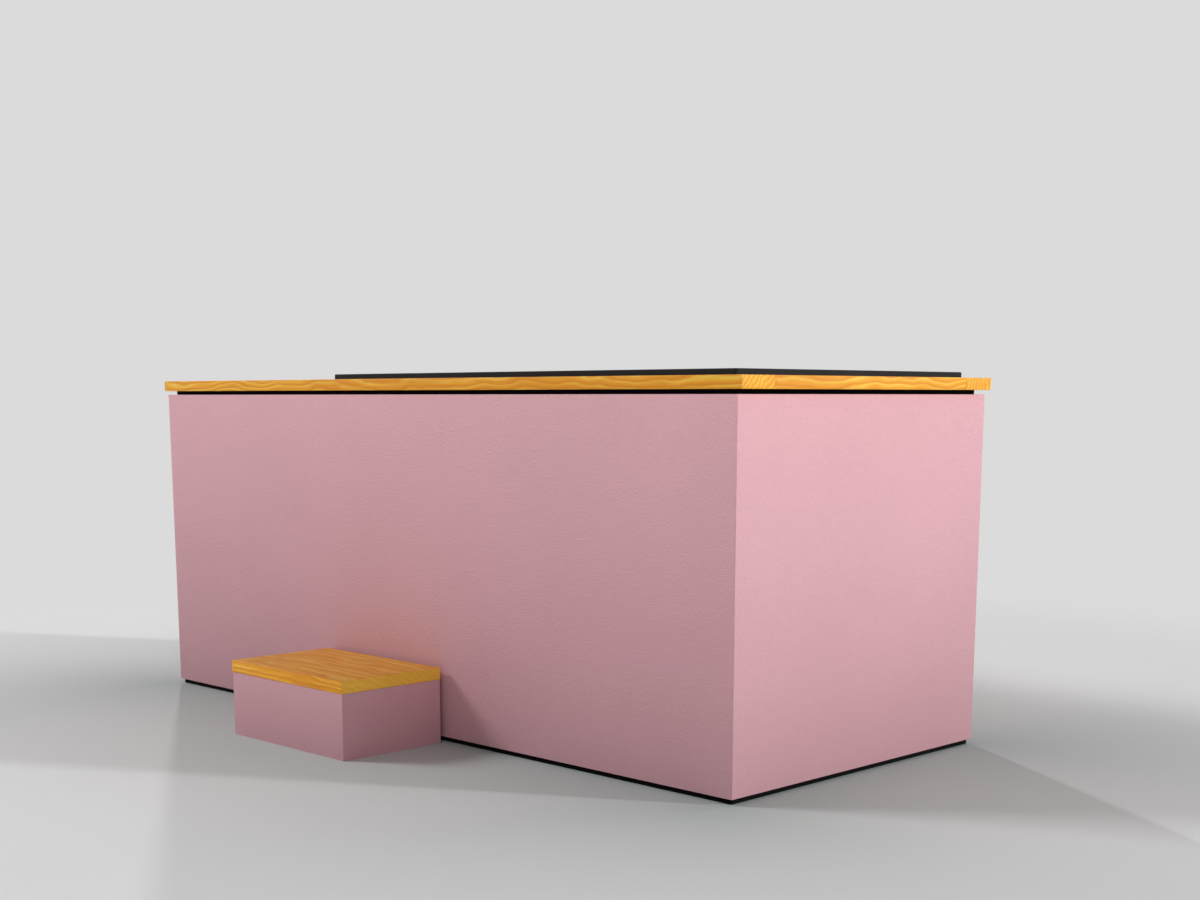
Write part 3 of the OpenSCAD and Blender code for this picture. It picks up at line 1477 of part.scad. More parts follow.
module power_rocker() color("darkred") union() {
    translate([key_x, rocker_y, box_z1 - box_wall / 2]) rotate([0, -rocker_tilt, 0])
        block(-rocker_l / 2, rocker_l / 2, -rocker_w / 2, rocker_w / 2, -rocker_h / 2, rocker_h / 2);
    rod_y(
        rocker_y - rocker_w / 2 - rocker_pin_l, rocker_y + rocker_w / 2 + rocker_pin_l,
        key_x, box_z1 - box_wall / 2, rocker_pin_r
    );
}

// Step

module step_box() color(paint) {
    mid_sx = (step_x0 + step_x1) / 2;
    mid_sy = (step_y0 + step_y1) / 2;
    cleat_x = step_l / 2 - panel_t;
    cleat_y = step_d / 2 - panel_t - free_gap;
    translate([mid_sx, mid_sy, 0]) {
        difference() {
            block(-step_l / 2, step_l / 2, -step_d / 2, step_d / 2, 0, step_h);
            block(
                -step_l / 2 + panel_t, step_l / 2 - panel_t,
                -step_d / 2 + panel_t, step_d / 2 - panel_t, -eps, step_h + eps
            );
        }
        for (side = [0, 1])
            mirror([side, 0, 0]) block(
                cleat_x - cleat_w, cleat_x + eps / 2, -cleat_y, cleat_y, step_h - cleat_w, step_h
            );
    }
}

module step_tread() color(wood)
    block(
        step_x0 - tread_over, step_x1 + tread_over, step_y0 - tread_over, step_y1 + tread_over,
        step_h, step_h + tread_t
    );

floor_runners();
base_frame_tubes();
base_panel();
frame_posts();
top_rails();
front_panel();
rear_panel();
left_end_panel();
right_end_panel();
bulkhead();
neck_strips();
bath_shell();
insulation_boards();
deck_front_board();
deck_rear_board();
deck_right_board();
deck_middle_board();
deck_left_board();
deck_screws();
hatch_ledges();
hatch_boards();
hatch_battens();
hatch_finger_ring();
hinge_fixed_leaves();
hinge_moving_leaves();
cover_panel();
cover_core();
cover_seal_strips();
cover_grips();
wall_fittings();
suction_grille();
return_nozzle();
water_pipes();
pipe_elbows();
drain_tee();
drain_valve_body();
drain_valve_ball();
drain_valve_lever();
drain_spigot();
pump_housing();
pump_impeller();
pump_motor();
filter_housing();
filter_cartridge();
filter_lid();
steriliser();
heat_exchanger();
compressor();
condenser();
fan_shroud();
fan_motor();
fan_rotor();
vent_louvres();
mains_gland();
control_box();
control_key_set();
control_key_mode();
power_rocker();
step_box();
step_tread();
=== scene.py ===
"""Cold plunge tub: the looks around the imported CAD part. Lengths are in metres.

The CAD nodes give every place and size. Pieces that show are rebuilt here with eased edges and
their own node materials, and each rides on the body of the node that it stands for.
"""

import json
import math

import bmesh
import bpy
from mathutils import Matrix, Vector

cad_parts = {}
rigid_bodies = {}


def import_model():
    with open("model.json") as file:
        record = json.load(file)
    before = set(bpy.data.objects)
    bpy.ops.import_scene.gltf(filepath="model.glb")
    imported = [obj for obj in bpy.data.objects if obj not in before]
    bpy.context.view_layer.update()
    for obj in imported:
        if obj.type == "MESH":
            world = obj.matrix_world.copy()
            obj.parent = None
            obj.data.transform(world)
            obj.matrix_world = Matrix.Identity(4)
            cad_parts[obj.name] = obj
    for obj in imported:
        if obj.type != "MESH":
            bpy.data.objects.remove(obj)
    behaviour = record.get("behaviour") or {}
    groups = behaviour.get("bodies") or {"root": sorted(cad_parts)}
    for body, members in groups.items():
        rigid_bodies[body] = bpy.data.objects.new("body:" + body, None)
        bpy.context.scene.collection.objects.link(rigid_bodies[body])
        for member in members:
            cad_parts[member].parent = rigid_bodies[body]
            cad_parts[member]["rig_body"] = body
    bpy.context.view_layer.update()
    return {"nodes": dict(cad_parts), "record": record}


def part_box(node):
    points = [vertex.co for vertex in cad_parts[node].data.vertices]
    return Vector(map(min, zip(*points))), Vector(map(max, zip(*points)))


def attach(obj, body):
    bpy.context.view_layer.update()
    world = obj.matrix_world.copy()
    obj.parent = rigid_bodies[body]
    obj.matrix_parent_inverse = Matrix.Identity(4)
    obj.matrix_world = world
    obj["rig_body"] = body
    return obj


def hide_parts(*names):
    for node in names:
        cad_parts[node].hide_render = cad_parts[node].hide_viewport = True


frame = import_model()
NODES = frame["nodes"]
SLOT_OF = {row["node"]: row["material_slot"] for row in frame["record"]["subparts"]}
BODY_OF = {name: node["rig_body"] for name, node in NODES.items()}

MM = 0.001
WHITE = (1.0, 1.0, 1.0, 1.0)


def put_in_scene(name, data):
    """A new object in the scene, for a mesh, a lamp or a camera."""
    thing = bpy.data.objects.new(name, data)
    bpy.context.scene.collection.objects.link(thing)
    return thing


# Camera

CAMERA_PLACE = (3.025, -2.800, 0.7775)
CAMERA_YAW = math.radians(45.04)
CAMERA_PITCH = math.radians(-10.057)
CAMERA_LENS, CAMERA_SENSOR = 49.93, 36.0  # in millimetres
CAMERA_SHIFT_Y = 0.2014
CAMERA_NEAR, CAMERA_FAR = 0.05, 100.0


def make_camera():
    data = bpy.data.cameras.new("camera")
    data.lens = CAMERA_LENS
    data.sensor_width = CAMERA_SENSOR
    data.shift_y = CAMERA_SHIFT_Y
    data.clip_start, data.clip_end = CAMERA_NEAR, CAMERA_FAR
    camera = put_in_scene("camera", data)
    camera.rotation_euler = (math.radians(90) + CAMERA_PITCH, 0, CAMERA_YAW)
    camera.location = CAMERA_PLACE
    bpy.context.scene.camera = camera


# Light: five square lamps and a dim room

LIGHT_LEVEL = math.pi**2  # power of a lamp 1 m off that shows a white face as white
LIGHTS = [
    # name, spot that it shines at, direction back to it on the ground, elevation in degrees,
    # distance, side of its square, level
    ("right rear", (1.0, 0.0, 0.4), (0.861, 0.508), 14.0, 60.0, 3.4, 0.665),
    ("left rear", (-1.0, 0.4, 0.4), (-0.852, 0.524), 20.0, 60.0, 1.8, 0.36),
    ("left front", (0.13, -0.7, 0.1), (-0.828, -0.561), 36.0, 20.0, 5.4, 0.505),
    ("rear", (0.0, 0.0, 0.4), (0.2, 0.98), 35.0, 14.0, 9.0, 0.19),
    ("right front", (0.5, -0.4, 0.4), (0.707, -0.707), 25.0, 14.0, 7.0, 0.225),
]
ROOM_LEVEL = 0.15  # what the room gives as light
WALL_LEVEL = 0.708  # what it shows as a background


def make_lights():
    for name, spot, toward, elevation, distance, size, level in LIGHTS:
        rise = math.radians(elevation)
        direction = Vector((*toward, 0)).normalized() * math.cos(rise) + Vector((0, 0, math.sin(rise)))
        data = bpy.data.lights.new(name, "AREA")
        data.shape = "SQUARE"
        data.size = size
        data.energy = level * LIGHT_LEVEL * distance**2
        lamp = put_in_scene(name, data)
        lamp.location = Vector(spot) + direction * distance
        lamp.rotation_mode = "QUATERNION"
        lamp.rotation_quaternion = direction.to_track_quat("Z", "Y")


def shows_background(nodes, links):
    """1 for the rays that show the background: directly, in gloss and through clear parts."""
    path = nodes.new("ShaderNodeLightPath")
    seen = path.outputs["Is Camera Ray"]
    for ray in ("Is Glossy Ray", "Is Transmission Ray"):
        either = nodes.new("ShaderNodeMath")
        either.operation = "MAXIMUM"
        links.new(seen, either.inputs[0])
        links.new(path.outputs[ray], either.inputs[1])
        seen = either.outputs[0]
    return seen


def make_room():
    """A dim room that shows as a pale wall."""
    world = bpy.data.worlds.new("room")
    world.use_nodes = True
    nodes, links = world.node_tree.nodes, world.node_tree.links
    level = nodes.new("ShaderNodeMapRange")
    level.inputs["To Min"].default_value = ROOM_LEVEL
    level.inputs["To Max"].default_value = WALL_LEVEL
    links.new(shows_background(nodes, links), level.inputs["Value"])
    background = nodes["Background"]
    background.inputs["Color"].default_value = WHITE
    links.new(level.outputs["Result"], background.inputs["Strength"])
    bpy.context.scene.world = world


# Colours


def srgb(red, green, blue):
    """A colour given in 0 to 255 as it shows on screen, as linear light."""
    values = [v / 255 for v in (red, green, blue)]
    return tuple(v / 12.92 if v <= 0.04045 else ((v + 0.055) / 1.055) ** 2.4 for v in values) + (1.0,)


def shade(colour, factor):
    return tuple(min(1.0, c * factor) for c in colour[:3]) + (1.0,)


# Node materials

NOISE_LOW, NOISE_HIGH = 0.3, 0.7  # where nearly all of a noise's values lie
COLOUR_A, COLOUR_B, COLOUR_RESULT = 6, 7, 2  # the mix node's sockets for colours


class Shader:
    """A material's node tree, built by short calls. Places are the part's own coordinates."""

    def __init__(self, name, **sockets):
        self.material = bpy.data.materials.new(name)
        self.material.use_nodes = True
        self.nodes = self.material.node_tree.nodes
        self.links = self.material.node_tree.links
        self.surface = self.nodes["Principled BSDF"]
        self.place = self.nodes.new("ShaderNodeTexCoord").outputs["Object"]
        for socket, value in sockets.items():
            self.put(self.surface, socket.replace("_", " "), value)

    def put(self, node, socket, value):
        if isinstance(value, bpy.types.NodeSocket):
            self.links.new(value, node.inputs[socket])
        else:
            node.inputs[socket].default_value = value

    def add(self, kind, inputs, **settings):
        node = self.nodes.new(kind)
        for key, value in settings.items():
            setattr(node, key, value)
        for socket, value in inputs.items():
            self.put(node, socket, value)
        return node

    def maths(self, operation, first, second=0.0):
        return self.add("ShaderNodeMath", {0: first, 1: second}, operation=operation).outputs[0]

    def vector(self, operation, first, second=(0, 0, 0)):
        return self.add("ShaderNodeVectorMath", {0: first, 1: second}, operation=operation).outputs[0]

    def length(self, vector):
        node = self.add("ShaderNodeVectorMath", {0: vector}, operation="LENGTH")
        return node.outputs["Value"]

    def split(self, vector):
        """The three parts of a vector."""
        return self.add("ShaderNodeSeparateXYZ", {"Vector": vector}).outputs

    def noise(self, scale, detail=2.0, roughness=0.5, vector=None, distortion=0.0):
        inputs = {
            "Vector": vector or self.place,
            "Scale": scale,
            "Detail": detail,
            "Roughness": roughness,
            "Distortion": distortion,
        }
        return self.add("ShaderNodeTexNoise", inputs).outputs["Fac"]

    def cells(self, scale, **settings):
        """Distance to the middle of the nearest of many scattered cells."""
        inputs = {"Vector": self.place, "Scale": scale}
        return self.add("ShaderNodeTexVoronoi", inputs, **settings).outputs["Distance"]

    def spread(self, value, low, high, to_low, to_high):
        """The value's range from low to high, mapped to another range and kept in it."""
        inputs = {"Value": value, "From Min": low, "From Max": high, "To Min": to_low, "To Max": to_high}
        return self.add("ShaderNodeMapRange", inputs).outputs["Result"]

    def from_noise(self, noise, to_low=0.0, to_high=1.0):
        """A noise's usual range, mapped to another range and kept in it."""
        return self.spread(noise, NOISE_LOW, NOISE_HIGH, to_low, to_high)

    def blend(self, factor, first, second, mode="MIX"):
        inputs = {"Factor": factor, COLOUR_A: first, COLOUR_B: second}
        node = self.add("ShaderNodeMix", inputs, data_type="RGBA", blend_type=mode)
        return node.outputs[COLOUR_RESULT]

    def bump(self, height, distance, strength=1.0, under=None):
        inputs = {"Height": height, "Distance": distance, "Strength": strength}
        if under:
            inputs["Normal"] = under
        return self.add("ShaderNodeBump", inputs).outputs["Normal"]

    def finish(self, colour, roughness, normal):
        """The material, with its colour, roughness and relief put on its surface."""
        self.put(self.surface, "Base Color", colour)
        self.put(self.surface, "Roughness", roughness)
        self.put(self.surface, "Normal", normal)
        return self.material


# Paint, plastic and metal. Each takes the least and the most of its roughness.

PAINTED_SHADE_TOP = 0.78  # height from which no shade is painted into the paint's tone
PEEL_DEPTH = 2.0 * MM
STIPPLE_DEPTH = 0.9 * MM
LEATHER_DEPTH = 0.2 * MM
SCRATCH_DEPTH = 0.06 * MM


def powder_coat(name, colour, grain=1.0, roughness=(0.56, 0.70), painted_shade_at_floor=None):
    """Baked powder coat: orange peel, a fine stipple, and a slight cloudiness in its colour.

    grain is the strength of its relief. The last argument paints shade into the tone: it falls
    to that share of itself towards the floor, and the relief grows weaker.
    """
    s = Shader(name, IOR=1.42, Specular_IOR_Level=0.35)
    cloud = s.noise(2.2, 3.0, 0.55)
    speck = s.noise(900.0, 2.0, 0.6)
    tone = s.blend(s.from_noise(cloud), shade(colour, 0.97), shade(colour, 1.03))
    tone = s.blend(s.spread(speck, 0.35, 0.65, 0.0, 0.35), tone, shade(colour, 0.93))
    strength = 1.0
    # painted shade: the tone darkens towards the floor
    if painted_shade_at_floor:
        height = s.split(s.place)["Z"]
        tone = s.blend(1.0, tone, s.spread(height, 0.0, PAINTED_SHADE_TOP, painted_shade_at_floor, 1.0), "MULTIPLY")
        strength = s.spread(height, 0.1, PAINTED_SHADE_TOP, 0.35, 1.0)
    peel = s.noise(215.0, 1.0, 0.5, distortion=0.5)
    stipple = s.noise(480.0, 2.0, 0.6)
    wave = s.bump(peel, PEEL_DEPTH * grain, strength)
    fine = s.bump(stipple, STIPPLE_DEPTH * grain, strength, wave)
    return s.finish(tone, s.from_noise(peel, *roughness), fine)


def plain(name, colour, roughness, scale=300.0, depth=0.2 * MM, contrast=0.06, ior=1.45):
    """A moulded or cast surface: clouded colour, uneven gloss and a fine relief."""
    s = Shader(name, IOR=ior)
    cloud = s.noise(scale / 12, 3.0, 0.6)
    tone = s.blend(s.from_noise(cloud), shade(colour, 1 - contrast), shade(colour, 1 + contrast))
    relief = s.noise(scale, 3.0, 0.55)
    return s.finish(tone, s.from_noise(cloud, *roughness), s.bump(relief, depth))


def leathery(name, colour, roughness):
    """Moulded cover plastic with a leather-like grain."""
    s = Shader(name, IOR=1.4, Specular_IOR_Level=0.22)
    cells = s.cells(420.0, feature="SMOOTH_F1")
    cloud = s.noise(14.0, 3.0, 0.6)
    tone = s.blend(s.from_noise(cloud), shade(colour, 0.88), shade(colour, 1.12))
    tone = s.blend(s.spread(cells, 0.1, 0.6, 0.0, 0.3), tone, shade(colour, 0.7))
    return s.finish(tone, s.from_noise(cloud, *roughness), s.bump(cells, LEATHER_DEPTH))


def drawn_out(s, along, lengthwise, crosswise, detail=2.0, roughness=0.5, place=None):
    """Noise drawn out along one axis, with its own scales along it and across it."""
    scales = tuple(lengthwise if axis == along else crosswise for axis in range(3))
    return s.noise(1.0, detail, roughness, s.vector("MULTIPLY", place or s.place, scales))


def brushed(name, colour, along, roughness=(0.36, 0.50)):
    """Brushed metal, with its scratches along one axis."""
    s = Shader(name, Metallic=1.0)
    lines = drawn_out(s, along, 40.0, 1800.0, 3.0, 0.6)
    tone = s.blend(s.from_noise(lines), shade(colour, 0.9), shade(colour, 1.05))
    return s.finish(tone, s.from_noise(lines, *roughness), s.bump(lines, SCRATCH_DEPTH))


# Wood

WOOD_DARK = srgb(224, 139, 33)
WOOD_BASE = srgb(251, 176, 50)
WOOD_LIGHT = srgb(255, 212, 84)
WOOD_ROUGHNESS = (0.50, 0.64)
RING_SPACING = 11.8 * MM
GRAIN_SWAY = 30 * MM
ROW_CONTRAST = 0.45
LOG_STEP = 1.7
STREAK_DEPTH = 0.12 * MM
FIBRE_DEPTH = 0.22 * MM
PORE_DEPTH = 0.08 * MM


def elsewhere(s, seed, turn=0):
    """The place moved by a seed and a turn, so that noise gives something else there."""
    return s.vector("ADD", s.place, (seed + 3.7 * turn, 0.7 * seed + 1.9 * turn, 1.3 * seed + 5.3 * turn))


def ring_distance(s, along, pith, seed):
    """Distance to the log's pith line, swaying slowly as the trunk did."""
    parts = s.split(s.place)
    across = [axis for axis in range(3) if axis != along]
    squares = []
    for turn, (axis, centre) in enumerate(zip(across, pith)):
        drift = drawn_out(s, along, 4.2, 7.5, 2.5, 0.5, elsewhere(s, seed, turn))
        offset = s.maths("MULTIPLY", s.maths("SUBTRACT", drift, 0.5), 2.0 * GRAIN_SWAY)
        leg = s.maths("ADD", s.maths("SUBTRACT", parts[axis], centre), offset)
        squares.append(s.maths("MULTIPLY", leg, leg))
    return s.maths("SQRT", s.maths("ADD", squares[0], squares[1]))


def growth_ring(s, along, pith, spacing, seed, place):
    """How far a point lies into its growth ring, from 0 to 1."""
    uneven = drawn_out(s, along, 1.5, 38.0, 1.0, 0.5, place)
    rings = s.maths("DIVIDE", ring_distance(s, along, pith, seed), spacing)
    return s.maths("FRACT", s.maths("ADD", rings, s.maths("MULTIPLY", uneven, 1.6)))


def pale_streak(s, ring, along, place):
    """The ring's pale band, fainter in patches."""
    streak = s.maths("MULTIPLY", s.spread(ring, 0.54, 0.62, 0.0, 1.0), s.spread(ring, 0.74, 0.94, 1.0, 0.0))
    patchy = drawn_out(s, along, 5.0, 60.0, place=place)
    return s.maths("MULTIPLY", streak, s.spread(patchy, 0.34, 0.54, 0.25, 1.0))


def late_wood(s, ring):
    """The ring's dark band."""
    return s.maths("MULTIPLY", s.spread(ring, 0.06, 0.34, 0.0, 1.0), s.spread(ring, 0.36, 0.56, 1.0, 0.0))


def own_board(s, axis, start, pitch):
    """For a row of boards: the board's number, and the place as if each board lay first in the
    row and came from farther up the log.
    """
    across = s.split(s.place)[axis]
    index = s.maths("FLOOR", s.maths("DIVIDE", s.maths("SUBTRACT", across, start), pitch))
    shift = tuple(-pitch if i == axis else LOG_STEP for i in range(3))
    scaled = s.add("ShaderNodeVectorMath", {0: shift, "Scale": index}, operation="SCALE").outputs[0]
    return index, s.vector("ADD", s.place, scaled)


def board_contrast(s, colour, index):
    """Gives each board of a row its own tone."""
    own = s.add("ShaderNodeTexWhiteNoise", {"W": index}, noise_dimensions="1D").outputs["Value"]
    return s.blend(s.spread(own, 0.0, 1.0, 0.0, ROW_CONTRAST), colour, WOOD_DARK)


def painted_face_light(s, colour, along, ends, painted_top_shade_and_sheen):
    """Paints light onto the end faces, and paints shade and sheen onto the faces that look up."""
    facing = s.split(s.add("ShaderNodeNewGeometry", {}).outputs["Normal"])
    lengthwise = s.maths("ABSOLUTE", facing[along])
    # painted light: the end faces are lightened
    colour = s.blend(s.spread(lengthwise, 0.6, 0.9, 0.0, ends), colour, WOOD_LIGHT)
    if painted_top_shade_and_sheen:
        # painted shade and sheen on the faces that look up
        shaded_top = s.blend(1.0, colour, painted_top_shade_and_sheen, "MULTIPLY")
        colour = s.blend(s.spread(facing["Z"], 0.6, 0.9, 0.0, 1.0), colour, shaded_top)
    return colour


def wood(name, along, pith, spacing=RING_SPACING, seed=0.0, ends=0.1, painted_top_shade_and_sheen=None, row=None):
    """Oiled softwood. Its rings lie round a pith line that runs with the grain, so that long
    faces show flowing streaks and end faces show slanting arcs.

    along is the grain's axis, and pith the place of the pith line on the other two axes. ends is
    how much light is painted onto the end faces. With a top tint, shade and sheen are painted onto the
    faces that look up, which are multiplied by it.
    row gives the axis, start and pitch of a row of boards that share the material.
    """
    s = Shader(name, IOR=1.42, Specular_IOR_Level=0.3)
    if row:
        index, s.place = own_board(s, *row)
    place = elsewhere(s, seed)
    ring = growth_ring(s, along, pith, spacing, seed, place)
    streak = pale_streak(s, ring, along, place)
    colour = s.blend(s.maths("MULTIPLY", late_wood(s, ring), 0.7), WOOD_BASE, WOOD_DARK)
    colour = s.blend(streak, colour, WOOD_LIGHT)
    broad = drawn_out(s, along, 2.6, 16.0, place=place)
    colour = s.blend(s.spread(broad, 0.4, 0.66, 0.0, 0.45), colour, WOOD_DARK)
    if row:
        colour = board_contrast(s, colour, index)
    fibres = drawn_out(s, along, 9.0, 330.0, 3.0, 0.6, place)
    colour = s.blend(s.spread(fibres, 0.42, 0.72, 0.0, 0.55), colour, WOOD_DARK)
    colour = painted_face_light(s, colour, along, ends, painted_top_shade_and_sheen)
    pores = drawn_out(s, along, 30.0, 2400.0, place=place)
    relief = s.bump(streak, STREAK_DEPTH)
    relief = s.bump(fibres, FIBRE_DEPTH, under=relief)
    relief = s.bump(pores, PORE_DEPTH, under=relief)
    return s.finish(colour, s.from_noise(fibres, *WOOD_ROUGHNESS), relief)


# Paper, fins and foam

PAPER_DEPTH = 0.3 * MM
FIN_PITCH = 2.4 * MM
FIN_DEPTH = 0.6 * MM
FOAM_DEPTH = 0.5 * MM


def pleated_paper():
    s = Shader("filter paper", IOR=1.4)
    fleece = s.noise(1400.0, 3.0, 0.7)
    tone = s.blend(s.from_noise(fleece), srgb(226, 226, 220), srgb(244, 244, 240))
    return s.finish(tone, s.from_noise(fleece, 0.8, 0.95), s.bump(fleece, PAPER_DEPTH))


def condenser_fins():
    """Aluminium fins standing along Z, with shade painted into the gaps between them."""
    s = Shader("condenser fins", Metallic=0.9)
    phase = s.maths("FRACT", s.maths("DIVIDE", s.split(s.place)["Y"], FIN_PITCH))
    painted_gap_shade = s.spread(s.maths("ABSOLUTE", s.maths("SUBTRACT", phase, 0.5)), 0.18, 0.30, 0.0, 1.0)
    dust = s.noise(30.0, 3.0, 0.6)
    metal = s.blend(s.from_noise(dust), srgb(176, 178, 180), srgb(204, 206, 208))
    # painted shade between the fins
    tone = s.blend(painted_gap_shade, srgb(28, 29, 31), metal)
    return s.finish(tone, s.from_noise(dust, 0.30, 0.45), s.bump(painted_gap_shade, FIN_DEPTH))


def foam_board():
    s = Shader("insulation foam", IOR=1.35)
    cells = s.cells(700.0)
    tone = s.blend(s.spread(cells, 0.0, 0.7, 0.0, 1.0), srgb(214, 200, 150), srgb(236, 224, 178))
    return s.finish(tone, s.spread(cells, 0.0, 0.7, 0.85, 0.95), s.bump(cells, FOAM_DEPTH))


# The finishes, by material slot

PINK = srgb(232, 178, 187)
MATT_BLACK = {"roughness": (0.85, 0.95), "scale": 500.0, "ior": 1.2}
MATERIALS = {
    # the pink paint has shade painted in towards the floor
    "pink_paint": powder_coat("pink powder coat with painted shade near the floor", PINK, painted_shade_at_floor=0.735),
    # near black: partly the rubber's own colour, partly painted shade for the gap under the deck
    "black_rubber": plain("black rubber darkened with painted gap shade", srgb(5, 5, 5), **MATT_BLACK),
    "black_plastic": plain("black plastic", srgb(28, 28, 30), (0.42, 0.55), 600.0),
    "cover_plastic": leathery("cover plastic", srgb(27, 28, 29), (0.60, 0.72)),
    "grey_plastic": plain("grey plastic", srgb(120, 122, 126), (0.40, 0.52), 500.0),
    "frame_paint": powder_coat("frame paint", srgb(34, 35, 37), 0.7, (0.42, 0.54)),
    "bath_acrylic": plain(
        "bath acrylic", srgb(236, 237, 236), (0.08, 0.14), 60.0, depth=0.15 * MM, contrast=0.01, ior=1.49
    ),
    "foam": foam_board(),
    "stainless": brushed("stainless steel", srgb(180, 182, 185), along=0),
    "white_pipe": plain(
        "white pipe", srgb(226, 227, 224), (0.28, 0.38), 240.0, depth=0.1 * MM, contrast=0.02
    ),
    "dark_pipe": plain("dark pipe", srgb(58, 60, 63), (0.30, 0.42), 240.0),
    "red_lever": plain("red lever", srgb(176, 28, 30), (0.30, 0.40), 260.0),
    "brass_fitting": brushed("brass", srgb(206, 172, 98), along=1, roughness=(0.18, 0.30)),
    "pump_paint": powder_coat("pump paint", srgb(44, 74, 116), 0.8, (0.34, 0.46)),
    "filter_blue": plain("filter housing", srgb(24, 52, 96), (0.22, 0.32), 220.0),
    "filter_paper": pleated_paper(),
    "fin_aluminium": condenser_fins(),
    "compressor_paint": powder_coat("compressor paint", srgb(20, 20, 21), 0.5, (0.22, 0.32)),
    "key_plastic": plain("key plastic", srgb(205, 208, 210), (0.34, 0.44), 400.0, depth=0.1 * MM),
}


# Meshes

SMOOTH_ANGLE = math.radians(32)
EDGE_ANGLE = math.radians(50)
FLAT_ANGLE = math.radians(0.5)
SAME_POINT = 0.002 * MM
LEAST_LENGTH = 0.001 * MM


def round_shading(mesh):
    """Smooth shading that leaves sharp edges crisp."""
    mesh.shade_smooth()
    mesh.set_sharp_from_angle(angle=SMOOTH_ANGLE)


def link_piece(name, mesh, node_names, material):
    """A new piece that stands for CAD nodes, rides on their body and takes their finish."""
    piece = put_in_scene(name, mesh)
    mesh.materials.clear()
    mesh.materials.append(material)
    round_shading(mesh)
    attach(piece, BODY_OF[node_names[0]])
    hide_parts(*node_names)
    return piece


def mesh_from(bm, name):
    bmesh.ops.recalc_face_normals(bm, faces=bm.faces)
    mesh = bpy.data.meshes.new(name)
    bm.to_mesh(mesh)
    bm.free()
    return mesh


def add_block(bm, low, high):
    """An axis-aligned block between two corners."""
    low, high = Vector(low), Vector(high)
    size, middle = high - low, (low + high) / 2
    for v in bmesh.ops.create_cube(bm, size=1.0)["verts"]:
        v.co = Vector(a * b for a, b in zip(v.co, size)) + middle


def ease(bm, edges, radius, segments):
    """Rounds edges to a radius, with a number of faces round each."""
    bmesh.ops.bevel(
        bm,
        geom=list(edges),
        offset=radius,
        offset_type="OFFSET",
        segments=segments,
        profile=0.5,
        affect="EDGES",
        clamp_overlap=True,
    )


def clean_copy(node_name):
    """The CAD node's surface as a bmesh, with its triangles joined into flat faces."""
    bm = bmesh.new()
    bm.from_mesh(NODES[node_name].data)
    bmesh.ops.remove_doubles(bm, verts=bm.verts, dist=SAME_POINT)
    bmesh.ops.dissolve_degenerate(bm, edges=bm.edges, dist=LEAST_LENGTH)
    bmesh.ops.dissolve_limit(
        bm, angle_limit=FLAT_ANGLE, verts=bm.verts, edges=bm.edges, use_dissolve_boundaries=False
    )
    return bm


def inner_edges(bm):
    """The edges that join two faces."""
    return [edge for edge in bm.edges if len(edge.link_faces) == 2]


def dress(node_name, radius, material=None, segments=2, test=None):
    """The CAD node's own shape with eased edges and a detailed finish. test picks the edges."""
    bm = clean_copy(node_name)
    sharp = [edge for edge in inner_edges(bm) if edge.calc_face_angle(0) > EDGE_ANGLE]
    ease(bm, [edge for edge in sharp if test is None or test(edge)], radius, segments)
    bmesh.ops.dissolve_degenerate(bm, edges=bm.edges, dist=SAME_POINT)
    mesh = mesh_from(bm, node_name + "_look")
    link_piece(node_name + "_look", mesh, [node_name], material or MATERIALS[SLOT_OF[node_name]])


# Shell

PANEL_THICK = 3.0 * MM
PANEL_CORNER = 2.2 * MM
PANEL_EDGE = 0.8 * MM
CORNER_STEPS = 5


def corner_arcs(half_x, half_y):
    """The front face's outline from mitre to mitre: points, each with the way it looks."""
    outline = []
    for side in (-1, 1):
        centre = Vector((side * (half_x - PANEL_CORNER), -half_y + PANEL_CORNER, 0))
        arc = []
        for step in range(CORNER_STEPS + 1):
            angle = math.radians(45 * step / CORNER_STEPS)
            away = Vector((side * math.sin(angle), -math.cos(angle), 0))
            arc.append((centre + away * PANEL_CORNER, away))
        outline += arc[::-1] if side < 0 else arc
    return outline


def panel_section(bottom, top):
    """Depths and heights round a panel's section, its outer edges eased."""
    edge, middle = PANEL_EDGE, 0.3 * PANEL_EDGE
    return [
        (PANEL_THICK, bottom), (edge, bottom), (middle, bottom + middle), (0, bottom + edge),
        (0, top - edge), (middle, top - middle), (edge, top), (PANEL_THICK, top),
    ]


def join_rows(bm, rows):
    """Faces between neighbouring rows of points, and one on each end."""
    for row, following in zip(rows, rows[1:]):
        for i in range(len(row)):
            j = (i + 1) % len(row)
            bm.faces.new((row[i], row[j], following[j], following[i]))
    bm.faces.new(rows[0])
    bm.faces.new(rows[-1][::-1])


def shell_panel(node_name, quarter_turns):
    """A folded shell panel. Its outer face runs round half of each corner, up to the mitre."""
    low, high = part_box(node_name)
    half_x, half_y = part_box("front_panel")[1].x, -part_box("front_panel")[0].y
    if quarter_turns % 2:
        half_x, half_y = half_y, half_x
    inner_x, inner_y = half_x - PANEL_THICK, half_y - PANEL_THICK
    bm = bmesh.new()
    rows = []
    for point, away in corner_arcs(half_x, half_y):
        row = []
        for depth, z in panel_section(low.z, high.z):
            p = point - away * depth
            if depth == PANEL_THICK:
                p.x = max(-inner_x, min(inner_x, p.x))
                p.y = -inner_y
            row.append(bm.verts.new((p.x, p.y, z)))
        rows.append(row)
    join_rows(bm, rows)
    bmesh.ops.remove_doubles(bm, verts=bm.verts, dist=LEAST_LENGTH)
    turn = Matrix.Rotation(math.radians(90 * quarter_turns), 3, "Z")
    bmesh.ops.rotate(bm, verts=bm.verts, matrix=turn)
    return mesh_from(bm, node_name + "_look")


# Openings in the shell. The vents' middles are y and z on the left end, x and z at the rear.

